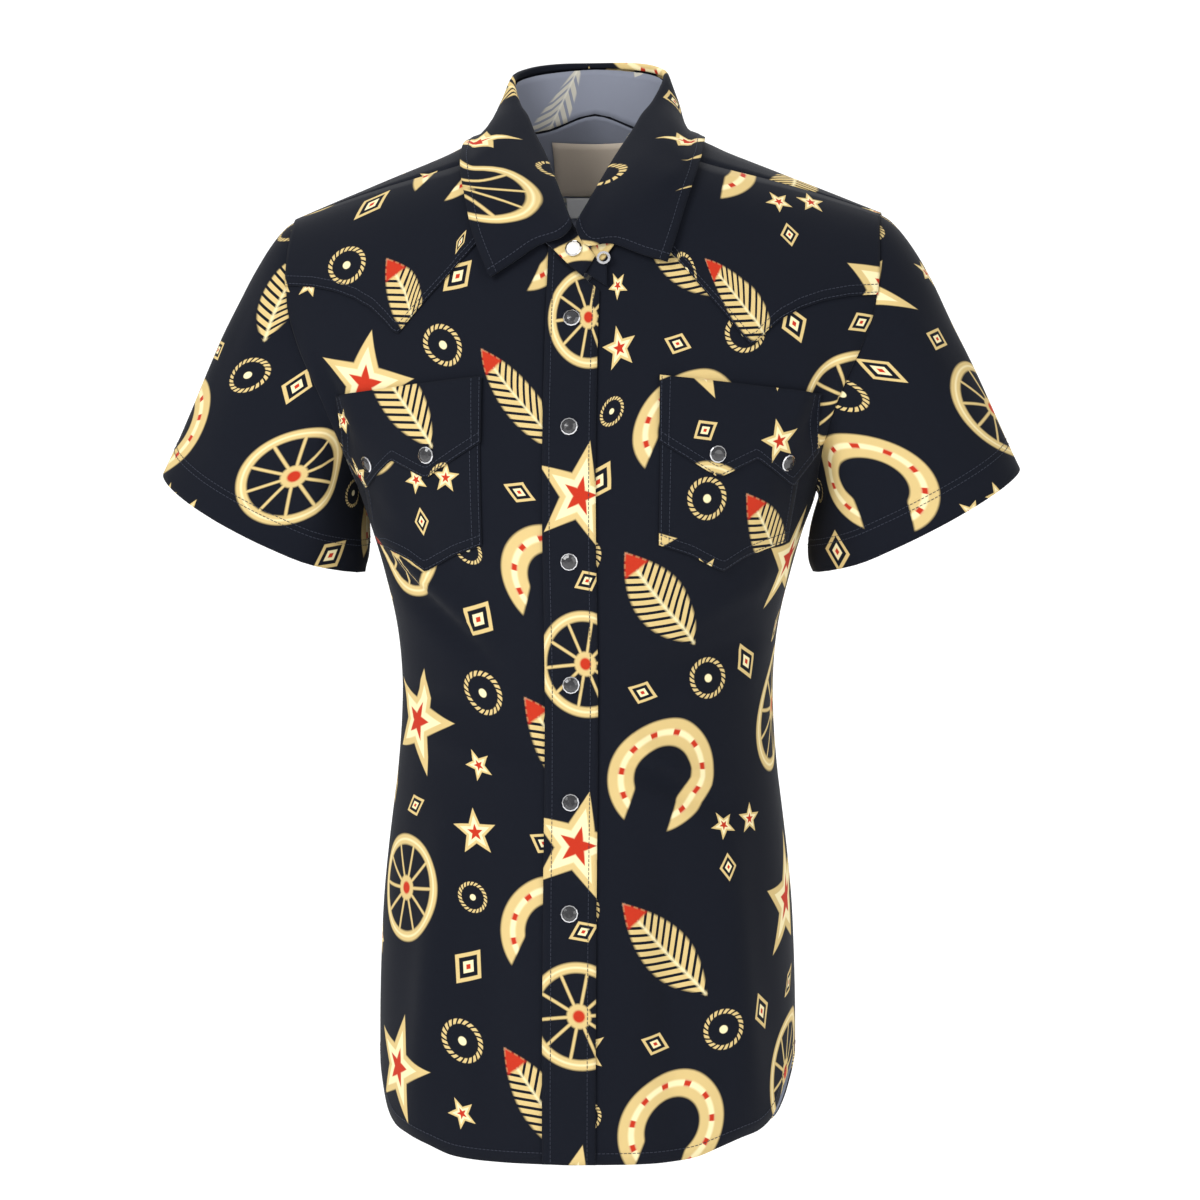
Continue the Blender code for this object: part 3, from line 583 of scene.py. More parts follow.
def print_group():
    """The whole print: flat cloth coordinates in, masks for straw, cream and red out."""
    group = bpy.data.node_groups.new("western_print", "ShaderNodeTree")
    group.interface.new_socket("Cloth", in_out="INPUT", socket_type="NodeSocketVector")
    for mask in ("Straw", "Cream", "Red"):
        group.interface.new_socket(mask, in_out="OUTPUT", socket_type="NodeSocketFloat")
    start = group.nodes.new("NodeGroupInput")
    end = group.nodes.new("NodeGroupOutput")
    wrap = group.nodes.new("ShaderNodeVectorMath")
    wrap.operation = "MODULO"
    wrap.inputs[1].default_value = (REPEAT, REPEAT, 1.0)
    shift = group.nodes.new("ShaderNodeVectorMath")
    shift.operation = "ADD"
    shift.inputs[1].default_value = (40 * REPEAT, 40 * REPEAT, 0.0)
    group.links.new(start.outputs[0], shift.inputs[0])
    group.links.new(shift.outputs[0], wrap.inputs[0])
    sums = Sums(group)
    totals = [None, None, None]
    for kind, x, y, size, turn in LAYOUT:
        place = group.nodes.new("ShaderNodeMapping")
        place.vector_type = "TEXTURE"
        place.inputs["Location"].default_value = (x, y, 0)
        place.inputs["Rotation"].default_value = (0, 0, math.radians(turn))
        place.inputs["Scale"].default_value = (size, size, 1)
        group.links.new(wrap.outputs[0], place.inputs[0])
        figure = group.nodes.new("ShaderNodeGroup")
        figure.node_tree = GROUPS[kind]
        group.links.new(place.outputs[0], figure.inputs[0])
        for k in range(3):
            mask = figure.outputs[k]
            totals[k] = mask if totals[k] is None else sums("MAXIMUM", totals[k], mask)
    for socket, mask in zip(end.inputs, totals):
        group.links.new(mask, socket)
    return group


PRINT = print_group()

# %% Finishes
def principled(name, roughness, metallic=0.0):
    made = bpy.data.materials.new(name)
    made.use_nodes = True
    shader = made.node_tree.nodes["Principled BSDF"]
    shader.inputs["Roughness"].default_value = roughness
    shader.inputs["Metallic"].default_value = metallic
    return made, shader


def weave_bump(tree, shader, coordinates, scale, strength):
    """A fine woven grain: two waves crossed, as warp and weft."""
    waves = []
    for direction in ("X", "Y"):
        wave = tree.nodes.new("ShaderNodeTexWave")
        wave.bands_direction = direction
        wave.inputs["Scale"].default_value = scale
        wave.inputs["Distortion"].default_value = 1.5
        tree.links.new(coordinates, wave.inputs["Vector"])
        waves.append(wave.outputs["Fac"])
    bump = tree.nodes.new("ShaderNodeBump")
    bump.inputs["Strength"].default_value = strength
    bump.inputs["Distance"].default_value = 0.0002
    tree.links.new(Sums(tree)("MULTIPLY", *waves), bump.inputs["Height"])
    tree.links.new(bump.outputs[0], shader.inputs["Normal"])


def cotton(name, ground, straw, cream, red, roughness):
    """Printed cotton: the print's masks choose between four inks."""
    made, shader = principled(name, roughness)
    tree = made.node_tree
    cloth = tree.nodes.new("ShaderNodeUVMap")
    cloth.uv_map = "cloth"
    figures = tree.nodes.new("ShaderNodeGroup")
    figures.node_tree = PRINT
    tree.links.new(cloth.outputs[0], figures.inputs[0])
    colour = None
    for k, ink in enumerate((straw, cream, red)):
        mix_node = tree.nodes.new("ShaderNodeMix")
        mix_node.data_type = "RGBA"
        if colour is None:
            mix_node.inputs[6].default_value = (*ground, 1)
        else:
            tree.links.new(colour, mix_node.inputs[6])
        mix_node.inputs[7].default_value = (*ink, 1)
        tree.links.new(figures.outputs[k], mix_node.inputs[0])
        colour = mix_node.outputs[2]
    tree.links.new(colour, shader.inputs["Base Color"])
    shader.inputs["Sheen Weight"].default_value = 0.02
    shader.inputs["Specular IOR Level"].default_value = 0.18
    weave_bump(tree, shader, cloth.outputs[0], 420, 0.25)
    return made


def plain_cloth(name, colour):
    made, shader = principled(name, 0.85)
    tree = made.node_tree
    shader.inputs["Base Color"].default_value = (*colour, 1)
    cloth = tree.nodes.new("ShaderNodeUVMap")
    cloth.uv_map = "cloth"
    weave_bump(tree, shader, cloth.outputs[0], 300, 0.4)
    return made


def pearl(name, low, high):
    """Pearl: soft clouds between two tones under a clear coat."""
    made, shader = principled(name, 0.16)
    tree = made.node_tree
    place = tree.nodes.new("ShaderNodeTexCoord")
    clouds = tree.nodes.new("ShaderNodeTexNoise")
    clouds.inputs["Scale"].default_value = 260
    ramp = tree.nodes.new("ShaderNodeValToRGB")
    ramp.color_ramp.elements[0].color = (*low, 1)
    ramp.color_ramp.elements[1].color = (*high, 1)
    tree.links.new(place.outputs["Object"], clouds.inputs["Vector"])
    tree.links.new(clouds.outputs["Fac"], ramp.inputs[0])
    tree.links.new(ramp.outputs[0], shader.inputs["Base Color"])
    shader.inputs["Coat Weight"].default_value = 0.6
    return made


def metal(name):
    made, shader = principled(name, 0.24, 1.0)
    tree = made.node_tree
    place = tree.nodes.new("ShaderNodeTexCoord")
    wear = tree.nodes.new("ShaderNodeTexNoise")
    wear.inputs["Scale"].default_value = 500
    ramp = tree.nodes.new("ShaderNodeValToRGB")
    ramp.color_ramp.elements[0].color = (0.48, 0.48, 0.50, 1)
    ramp.color_ramp.elements[1].color = (0.72, 0.72, 0.73, 1)
    tree.links.new(place.outputs["Object"], wear.inputs["Vector"])
    tree.links.new(wear.outputs["Fac"], ramp.inputs[0])
    tree.links.new(ramp.outputs[0], shader.inputs["Base Color"])
    return made


OUTSIDE = cotton("printed_cotton", (0.0022, 0.0036, 0.0085), (0.60, 0.45, 0.19), (0.80, 0.70, 0.41), (0.46, 0.028, 0.009), 0.88)
INSIDE = cotton("cotton_wrong_side", (0.20, 0.215, 0.265), (0.44, 0.42, 0.36), (0.56, 0.54, 0.46), (0.36, 0.22, 0.22), 0.9)
THREAD = plain_cloth("thread", (0.020, 0.025, 0.042))
LABEL_CLOTH = plain_cloth("label_cloth", (0.55, 0.47, 0.38))
TAB_CLOTH = plain_cloth("tab_cloth", (0.85, 0.85, 0.85))
BLACK_PEARL = pearl("black_pearl", (0.006, 0.006, 0.008), (0.030, 0.030, 0.034))
WHITE_PEARL = pearl("white_pearl", (0.70, 0.66, 0.60), (0.90, 0.88, 0.84))
SILVER = metal("silver_metal")

# %% [markdown]
# ## From a grid to cloth
# A grid becomes a mesh whose flat coordinates are lengths along the cloth, so the print keeps its size.
# Solidify then gives it a thickness and puts the faded wrong side on the inner faces.

# %% Making a piece of cloth
def run_lengths(points):
    lengths = [0.0]
    for a, b in zip(points, points[1:]):
        lengths.append(lengths[-1] + (b - a).length)
    return lengths


def cloth_piece(name, grid, shift, turn, node, outer=OUTSIDE, inner=INSIDE, ring=False, thick=WALL, smooth=None):
    """A named piece of cloth from a grid whose face side is outwards."""
    mesh = bmesh.new()
    layer = mesh.loops.layers.uv.new("cloth")
    lines = [line + line[:1] for line in grid] if ring else grid
    rows, cols = len(lines), len(lines[0])
    middle = cols // 2
    calm = smooth or grid
    calm = [line + line[:1] for line in calm] if ring else calm
    across = [run_lengths(line) for line in calm]
    down = [run_lengths([line[j] for line in calm]) for j in range(cols)]
    cos, sin = math.cos(math.radians(turn)), math.sin(math.radians(turn))

    def flat_place(i, j):
        u, v = across[i][j] - across[i][middle], calm[0][j].z - down[j][i]
        return (u * cos - v * sin + shift[0], u * sin + v * cos + shift[1])

    verts = [[mesh.verts.new(p) for p in line] for line in grid]
    width = len(grid[0])
    area = 0.0
    for i in range(rows - 1):
        for j in range(cols - 1):
            corners = ((i, j), (i, j + 1), (i + 1, j + 1), (i + 1, j))
            face = mesh.faces.new([verts[a][b % width] for a, b in corners])
            for loop, (a, b) in zip(face.loops, corners):
                loop[layer].uv = flat_place(a, b)
            face.smooth = True
            area += face.calc_area()
    mesh.normal_update()
    data = bpy.data.meshes.new(name + "_cloth")
    mesh.to_mesh(data)
    mesh.free()
    piece = bpy.data.objects.new(name + "_cloth", data)
    bpy.context.scene.collection.objects.link(piece)
    data.materials.append(outer)
    data.materials.append(inner)
    wall = piece.modifiers.new("wall", "SOLIDIFY")
    wall.thickness = thick
    wall.offset = -1
    wall.material_offset = 1
    wall.material_offset_rim = 0
    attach(piece, "root")
    if node:
        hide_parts(node)
    size = (max(line[-1] for line in across), max(line[-1] for line in down))
    area = min(area, size[0] * size[1])
    print(f"{name}: cut {size[0] * 1000:.0f} x {size[1] * 1000:.0f} mm, {area:.4f} square metres")
    return piece


def outward(grid, centre=(0.0, 0.0), ring=False):
    """Normals that point out of the shirt, and the grid turned so that its faces do too."""
    normals = grid_normals(grid, ring)
    i, j = len(grid) // 2, len(grid[0]) // 2
    away = grid[i][j] - Vector((centre[0], centre[1], grid[i][j].z))
    if normals[i][j].dot(away) > 0:
        return grid, normals
    return [list(reversed(line)) for line in grid], [[-n for n in reversed(line)] for line in normals]


# %% [markdown]
# ## Fronts and back
# The two fronts and the back meet at the side seams and at seams a little forward of the shoulders.

# %% Build the three panels
DOWN, ACROSS = 5, 5
coarse = {
    "front_left": front_grid(LEFT_EDGE, LEFT_NECK_DROOP),
    "front_right": mirror(front_grid(RIGHT_EDGE, 0.0)),
    "back": whole_back(),
}
panels, smooth_panels = {}, {}
for name, grid in coarse.items():
    side = 1 if name == "back" else -1
    fine, normals = outward(refined(grid, DOWN, ACROSS))
    panels[name] = (creased(fine, normals, side), normals)
    smooth_panels[name] = fine
PRINT_SHIFT = {"front_left": (0.031, 0.017), "front_right": (0.164, 0.121), "back": (0.083, 0.205)}
for name, (grid, normals) in panels.items():
    cloth_piece(name, grid, PRINT_SHIFT[name], 0, name, smooth=smooth_panels[name])

# %% [markdown]
# ## Sleeves
# A set-in sleeve is a tube from the armhole to its hem. Its folds run from the underarm towards the hem.

# %% Sleeve tables and rows
# Sleeve hem: an ellipse square to the sleeve's axis, tipped so that its front hangs lower
SLEEVE_OUTER = Vector((0.317, 0.0, -0.2235))
SLEEVE_INNER = Vector((0.166, 0.0, -0.2990))
SLEEVE_DEPTH = 0.050
SLEEVE_TIP = {-1: 0.014, 1: -0.006}
SLEEVE_AXIS = Vector((0.452, 0.0, -0.892))


def hermite(a, b, ta, tb, u):
    return (
        a * (2 * u**3 - 3 * u**2 + 1)
        + ta * (u**3 - 2 * u**2 + u)
        + b * (3 * u**2 - 2 * u**3)
        + tb * (u**3 - u**2)
    )


def armhole_loop(front, back):
    """The armhole's points, from the shoulder's top down the front to the underarm and up the back."""
    front_edge = [line[-1] for line in front[: ARM_ROWS + 1]]
    back_edge = [line[-1] for line in back[: BACK_ARM_ROWS + 1]]
    return front_edge + list(reversed(back_edge))[1:-1]


def arc_shares(points):
    """The share of the way along a run of points."""
    steps = [0.0]
    for a, b in zip(points, points[1:]):
        steps.append(steps[-1] + (b - a).length)
    return [s / steps[-1] for s in steps]


def sleeve_grid(loop):
    """Rows from the armhole to the hem, each one closed ring of points."""
    down = arc_shares(loop[: ARM_ROWS + 1])
    up = arc_shares(loop[ARM_ROWS:] + loop[:1])
    angles = [180 * s for s in down] + [180 + 180 * s for s in up[1:-1]]
    centre = (SLEEVE_OUTER + SLEEVE_INNER) / 2
    half = (SLEEVE_OUTER - SLEEVE_INNER) / 2
    axis = SLEEVE_AXIS.normalized()
    columns = []
    for start, angle in zip(loop, angles):
        turn = math.radians(angle)
        forward = math.sin(turn)
        tip = SLEEVE_TIP[-1] * max(forward, 0) + SLEEVE_TIP[1] * max(-forward, 0)
        end = centre + half * math.cos(turn) + Vector((0, -SLEEVE_DEPTH * forward, 0)) + axis * tip
        low = ((1 - math.cos(turn)) / 2) ** 1.2
        leave = Vector((mix(1.0, 0.15, low), -0.12 * forward, mix(-0.45, -1.0, low))).normalized()
        chord = (end - start).length
        line = []
        for i in range(SLEEVE_ROWS + 1):
            u = (i / SLEEVE_ROWS) ** 1.15
            line.append(hermite(start, end, leave * chord * 0.5, axis * chord * 0.95, u))
        columns.append(line)
    return [[line[i] for line in columns] for i in range(SLEEVE_ROWS + 1)]


# %% Build the sleeves
SLEEVE_FOLDS = ((200, 14, 0.0050), (168, 10, -0.0040), (232, 12, -0.0040), (90, 22, 0.0030), (300, 20, 0.0030))


def folded_sleeve(grid, normals, phase):
    """Soft folds that are deepest between the armhole and the hem."""
    rows, cols = len(grid), len(grid[0])
    folded = []
    for i, (line, ns) in enumerate(zip(grid, normals)):
        fade = math.sin(math.pi * i / (rows - 1)) ** 0.8
        row = []
        for j, (p, n) in enumerate(zip(line, ns)):
            angle = (360 * j / cols + phase + 18 * i / rows) % 360
            height = sum(d * math.exp(-(((angle - a) / w) ** 2)) for a, w, d in SLEEVE_FOLDS)
            row.append(p + n * (height + noise.noise(p * 22) * 0.0014) * fade)
        folded.append(row)
    return folded


sleeves = {}
for side, name in ((-1, "sleeve_right"), (1, "sleeve_left")):
    back_side = coarse["back"] if side > 0 else [list(reversed(line)) for line in coarse["back"]]
    front = coarse["front_left" if side > 0 else "front_right"]
    loop = armhole_loop(front, back_side)
    if side < 0:
        loop = [Vector((-p.x, p.y, p.z)) for p in loop]
    tube = sleeve_grid(loop)
    tube = tube if side > 0 else mirror(tube)
    middle = sum(tube[len(tube) // 2], Vector()) / len(tube[0])
    fine, normals = outward(refined(tube, 5, 4, ring=True), (middle.x, middle.y), ring=True)
    folded = folded_sleeve(fine, normals, 0 if side > 0 else 25)
    sleeves[name] = (folded, normals)
    cloth_piece(name, folded, (0.12 * side, 0.07), 12 * side, name, ring=True, smooth=fine)

# %% [markdown]
# ## Yokes
# A yoke is a second layer with a pointed lower edge, stitched over the panel. Each column of the panel
# is followed down to that edge, so the yoke lies exactly on the cloth below it.

# %% Trim sizes
# Placket: half its width, and the slope of its top
PLACKET_HALF = 0.0190
PLACKET_CLOTH = 0.0014
PLACKET_TOP = -0.0830
PLACKET_SLOPE = -0.885

# Outline of a chest pocket, x and z, and of its flap, with a point at each snap
POCKET = (
    (0.0650, -0.176),
    (0.0630, -0.281),
    (0.0850, -0.2885),
    (0.1060, -0.300),
    (0.1200, -0.290),
    (0.1350, -0.283),
    (0.1490, -0.277),
    (0.1690, -0.176),
)
FLAP = (
    (0.0635, -0.161),
    (0.0635, -0.208),
    (0.0830, -0.220),
    (0.1040, -0.233),
    (0.1175, -0.226),
    (0.1310, -0.219),
    (0.1530, -0.238),
    (0.1715, -0.212),
    (0.1755, -0.172),
)
FLAP_SNAPS = ((0.1040, -0.2165), (0.1515, -0.2215))

OVERLAY_LIFT = 0.0016
FLAP_LIFT = 0.0030


def straight(table, key):
    """A value read along straight lines between a table's rows, which keeps its corners sharp."""
    key = min(max(key, table[0][0]), table[-1][0])
    for (a, low), (b, high) in zip(table, table[1:]):
        if key <= b:
            return mix(low, high, (key - a) / (b - a))
    return table[-1][1]


def laid_over(grid, normals, lower_edge, lift, rows=14):
    """The part of a panel above a lower edge, moved out."""
    columns = []
    for j in range(len(grid[0])):
        line = [grid[i][j] + normals[i][j] * lift for i in range(len(grid))]
        lengths = run_lengths(line)
        end = lengths[-1]
        for i, p in enumerate(line[1:], 1):
            edge = lower_edge(p.x)
            if p.z < edge and p.z < line[i - 1].z:
                share = (line[i - 1].z - edge) / (line[i - 1].z - p.z)
                end = mix(lengths[i - 1], lengths[i], min(1.0, max(0.0, share)))
                break
        column_points = []
        for k in range(rows + 1):
            target = end * k / rows
            i = 1
            while lengths[i] < target and i < len(lengths) - 1:
                i += 1
            span = lengths[i] - lengths[i - 1] or 1.0
            column_points.append(line[i - 1].lerp(line[i], (target - lengths[i - 1]) / span))
        columns.append(column_points)
    return [[c[k] for c in columns] for k in range(rows + 1)]


# %% Build the yokes
yokes = {}
for side, hand in ((-1, "right"), (1, "left")):
    grid, normals = panels["front_" + hand]
    edge = lambda x, side=side: straight(FRONT_YOKE, abs(x)) - FRONT_YOKE_SAG[side]
    yokes["yoke_front_" + hand] = laid_over(grid, normals, edge, OVERLAY_LIFT)
grid, normals = panels["back"]
yokes["yoke_back"] = laid_over(grid, normals, lambda x: straight(BACK_YOKE, abs(x)), OVERLAY_LIFT, rows=20)
for name, grid in yokes.items():
    cloth_piece(name, grid, (0.07, 0.19 if name == "yoke_back" else 0.06), 4, name, inner=OUTSIDE, thick=0.0009)

# %% [markdown]
# ## Pockets, flaps and placket
# These lie on the fronts. Each is a patch between a top line, two side lines and a shaped lower edge.

# %% Finding the front cloth
def cloth_tree(grid):
    cols = len(grid[0])
    faces = [
        (i * cols + j, i * cols + j + 1, (i + 1) * cols + j + 1, (i + 1) * cols + j)
        for i in range(len(grid) - 1)
        for j in range(cols - 1)
    ]
    return BVHTree.FromPolygons([p for line in grid for p in line], faces)


front_trees = [cloth_tree(panels[name][0]) for name in ("front_left", "front_right")]


def on_front(x, z, lift):
    """The point on the outermost front cloth at x and z, moved out."""
    hits = [tree.ray_cast(Vector((x, -0.5, z)), Vector((0, 1, 0))) for tree in front_trees]
    hits = [hit for hit in hits if hit[0] is not None and hit[0].y < 0.03]
    if not hits:
        return torso(x, z, -1) + Vector((0, -lift, 0))
    place, normal = min(hits, key=lambda hit: hit[0].y)[:2]
    return place + (normal if normal.y < 0 else -normal) * lift


# %% Patches on the fronts
def patch(outline, corners, lift, side, across=26, down=22):
    """A grid over an outline of x and z. corners are the indices where the sides end and the lower edge starts and stops."""
    low_start, low_end = corners
    left_side, lower, right_side = outline[: low_start + 1], outline[low_start : low_end + 1], outline[low_end:]
    right_side = tuple(reversed(right_side))

    def along(points, u):
        lengths = run_lengths([Vector((x, 0, z)) for x, z in points])
        target = u * lengths[-1]
        i = 1
        while lengths[i] < target and i < len(lengths) - 1:
            i += 1
        share = (target - lengths[i - 1]) / (lengths[i] - lengths[i - 1])
        return Vector((mix(points[i - 1][0], points[i][0], share), mix(points[i - 1][1], points[i][1], share)))

    grid = []
    for i in range(down + 1):
        v = i / down
        row = []
        for j in range(across + 1):
            u = j / across
            top = Vector(outline[0]).lerp(Vector(outline[-1]), u)
            low = along(lower, u)
            left, right = along(left_side, v), along(right_side, v)
            corner = (Vector(outline[0]).lerp(Vector(outline[-1]), u)).lerp(Vector(lower[0]).lerp(Vector(lower[-1]), u), v)
            spot = top.lerp(low, v) + left.lerp(right, u) - corner
            x = spot.x * side
            row.append(on_front(x, spot.y, lift))
        grid.append(row)
    return grid


trims = {}
for side, hand in ((-1, "right"), (1, "left")):
    trims["pocket_" + hand] = patch(POCKET, (1, 6), OVERLAY_LIFT, side)
    trims["flap_" + hand] = patch(FLAP, (1, 7), FLAP_LIFT, side, across=36)
band_xs = [mix(-PLACKET_HALF, PLACKET_HALF, k / 12) for k in range(13)]
band_low = hem_z(0.0, -1)
band = []
for i in range(131):
    row = []
    for x in band_xs:
        z = mix(PLACKET_TOP + PLACKET_SLOPE * x, band_low, i / 130)
        row.append(on_front(x, max(z, band_low + 0.0005), 0.0019))
    band.append(row)
trims["placket_right"] = band
for number, (name, grid) in enumerate(trims.items()):
    turned_grid, _ = outward(grid)
    trims[name] = turned_grid
    cloth_piece(name, turned_grid, (0.05 * number, 0.11 * number), 3 - number, name, inner=OUTSIDE, thick=0.0009)

# %% [markdown]
# ## Collar
# The stand is a band round the neck. The leaf rises inside it, folds over and ends in two points.

# %% Collar tables
# Collar, from the middle of the back to the front end. The neckline's x tells which curve it is on.
# The fold is a point. The leaf crosses the neckline at via, and ends at edge, each an x and a w on the body.
# Each row: curve, neck_x, fold, via, edge
COLLAR = (
    ("back", 0.0000, (0.000, 0.052, 0.0825), (0.000, 0.176), (0.000, 0.194)),
    ("back", 0.0340, (0.028, 0.045, 0.0810), (0.035, 0.129), (0.037, 0.152)),
    ("back", 0.0550, (0.047, 0.029, 0.0755), (0.057, 0.078), (0.064, 0.100)),
    ("back", 0.0645, (0.055, 0.009, 0.0660), (0.067, 0.022), (0.081, 0.035)),
    ("back", 0.0695, (0.048, -0.013, 0.0440), (0.072, -0.068), (0.086, -0.050)),
    ("front", 0.0720, (0.042, -0.021, 0.0330), (0.0745, -0.145), (0.0865, -0.120)),
    ("front", 0.0660, (0.036, -0.031, 0.0190), (0.070, -0.175), (0.084, -0.178)),
    ("front", 0.0540, (0.0265, -0.044, 0.0010), (0.058, -0.221), (0.080, -0.222)),
    ("front", 0.0330, (0.015, -0.066, -0.0230), (0.042, -0.284), (0.073, -0.285)),
    ("front", 0.0100, (0.001, -0.0905, -0.0510), (0.0215, -0.346), (0.060, -0.347)),
)
LEFT_TIP = (0.067, -0.325)
LEAF_OUT = 0.0056
LEAF_OFF_STAND = 0.0055
STAND_SHARE = 0.90
# The stand's two open ends, past the centre front: x and z of the lower and the upper corner, and how far out
# Each row: low, high
STAND_ENDS = {
    -1: (((-0.0035, -0.0800), (0.0060, -0.0615)), ((0.0075, -0.0885), (0.0155, -0.0740))),
    1: (((0.0240, -0.0740), (0.0140, -0.0600)), ((0.0245, -0.0960), (0.0085, -0.0860))),
}
STAND_END_OUT = {-1: 0.0062, 1: 0.0036}
LEFT_END_CLEAR = 0.0020

def collar_columns():
    """The collar's rows for both sides: side, neckline point, fold, via and edge, from the right end to the left."""
    halves = {}
    for side in (-1, 1):
        droop = LEFT_NECK_DROOP if side > 0 else 0.0
        half = []
        for curve, x, fold, via, edge in COLLAR:
            if curve == "back":
                base = over(x, neck_back_w(x))
            else:
                base = torso(x, neck_front_z(x, droop), -1)
            if side > 0 and x == COLLAR[-1][1] and curve == "front":
                edge = LEFT_TIP
            half.append((side, Vector((base.x * side, base.y, base.z)), Vector((fold[0] * side, *fold[1:])),
                         (via[0] * side, via[1]), (edge[0] * side, edge[1])))
        halves[side] = half
    return list(reversed(halves[-1]))[:-1] + halves[1]


def stand_grid(columns):
    """The band from the neckline up towards the fold, with an end tab on the right and an open left end."""
    lines = []
    for _, base, fold, _, _ in columns:
        up = (fold - base).normalized()
        low, high = base + up * NECK_SEAM * 2, mix(base, fold, STAND_SHARE - 0.02)
        lines.append([low, mix(low, high, 0.5), high])
    for side, corners in STAND_ENDS.items():
        ends = []
        for low, high in corners:
            line = []
            for u in (0.0, 0.5, 1.0):
                point = torso(mix(low[0], high[0], u), mix(low[1], high[1], u), -1)
                line.append(point + Vector((0, -STAND_END_OUT[side], 0)))
            ends.append(line)
        if side < 0:
            lines[0] = [mix(p, q, 0.5) for p, q in zip(lines[1], ends[0])]
            lines = list(reversed(ends)) + lines
        else:
            lines[-1] = [mix(p, q, 0.5) + Vector((0, -LEFT_END_CLEAR, 0)) for p, q in zip(lines[-2], ends[0])]
            lines = lines + ends
    grid = [[line[i] for line in lines] for i in range(3)]
    return grid


def leaf_grid(columns):
    """The leaf: up from the stand, over the fold, and down outside it to the pointed edge."""
    lines = []
    bases = [column[1] for column in columns]
    for j, (side, base, fold, via, edge) in enumerate(columns):
        up = (fold - base).normalized()
        foot = over(*via) + body_normal(*via) * LEAF_OUT
        along = bases[min(j + 1, len(bases) - 1)] - bases[max(j - 1, 0)]
        out = along.cross(up).normalized()
        if out.dot(Vector((base.x, base.y, 0))) < 0:
            out = -out
        line = [mix(base, fold, STAND_SHARE) + up * SEAM * 2, fold, fold + out * 0.0036 + up * 0.0004]
        line.append(mix(fold, base, 0.20) + out * LEAF_OFF_STAND)
        line.append(mix(mix(fold, base, 0.60), mix(fold, foot, 0.60), 0.5) + out * LEAF_OFF_STAND)
        for u in (0.12, 0.56, 1.0):
            spot = (mix(via[0], edge[0], u), mix(via[1], edge[1], u))
            line.append(over(*spot) + body_normal(*spot) * LEAF_OUT)
        lines.append(line)
    grid = [[line[i] for line in lines] for i in range(len(lines[0]))]
    return grid


# %% Build the collar
collar_rows = collar_columns()
stand, _ = outward(refined(stand_grid(collar_rows), 4, 3))
cloth_piece("collar_stand", stand, (0.02, 0.15), 0, "collar_stand")
leaf_coarse = refined(leaf_grid(collar_rows), 3, 4)
leaf_normals = grid_normals(leaf_coarse)
probe = leaf_normals[len(leaf_coarse) * 5 // 7][len(leaf_coarse[0]) // 2]
if probe.y < 0:
    leaf_coarse = [list(reversed(line)) for line in leaf_coarse]
cloth_piece("collar", leaf_coarse, (0.10, 0.02), 90, "collar", inner=OUTSIDE, thick=0.0014)

# %% [markdown]
# ## Labels
# The label and the size tab are bare cloth, held against the inside of the back.

# %% Build the labels
# Labels inside the back neck: x and z at the left bottom and right top corners
LABEL = ((-0.032, -0.014), (0.032, 0.023))
SIZE_TAB = ((-0.025, -0.030), (-0.007, -0.0155))

back_grid, back_normals = panels["back"]
back_tree = BVHTree.FromPolygons(
    [p - n * (WALL + 0.0006) for line, ns in zip(back_grid, back_normals) for p, n in zip(line, ns)],
    [
        (i * len(back_grid[0]) + j, i * len(back_grid[0]) + j + 1, (i + 1) * len(back_grid[0]) + j + 1, (i + 1) * len(back_grid[0]) + j)
        for i in range(len(back_grid) - 1)
        for j in range(len(back_grid[0]) - 1)
    ],
)
for name, corners, finish, slot in (
    ("label", LABEL, LABEL_CLOTH, "label_cloth"),
    ("size_tab", SIZE_TAB, TAB_CLOTH, "tab_cloth"),
):
    (left, bottom), (right, top) = corners
    grid = []
    for i in range(9):
        row = []
        for j in range(13):
            start = Vector((mix(left, right, j / 12), 0.0, mix(top, bottom, i / 8)))
            row.append(back_tree.ray_cast(start, Vector((0, 1, 0)))[0] - Vector((0, 0.0009, 0)))
        grid.append(row)
    grid = [list(reversed(line)) for line in outward(grid)[0]]
    cloth_piece(name, grid, (0, 0), 0, name, outer=finish, inner=finish, thick=0.0006)

# %% [markdown]
# ## Stitching
# Rows of thread show where each piece is sewn down. Each stitch is a small raised bar, so light catches it.

# %% Thread
STITCH, STITCH_STEP, STITCH_WIDE, STITCH_HIGH = 0.0021, 0.0031, 0.00045, 0.00025
thread = bmesh.new()


def stitch_row(points, normals):
    lengths = run_lengths(points)
    at, i = 0.001, 1
    while at + STITCH < lengths[-1]:
        ends = []
        for target in (at, at + STITCH):
            while lengths[i] < target:
                i += 1
            share = (target - lengths[i - 1]) / (lengths[i] - lengths[i - 1])
            ends.append((points[i - 1].lerp(points[i], share), normals[i]))
        (a, n), (b, m) = ends
        along = (b - a).normalized()
        wide = along.cross(n).normalized() * STITCH_WIDE / 2
        corners = [thread.verts.new(p) for p in (a - wide, a + wide, b + wide, b - wide)]
        tops = [thread.verts.new(v.co + n * STITCH_HIGH) for v in corners]
        thread.faces.new(tops)
        for k in range(4):
            thread.faces.new((corners[k], corners[(k + 1) % 4], tops[(k + 1) % 4], tops[k]))
        at += STITCH_STEP


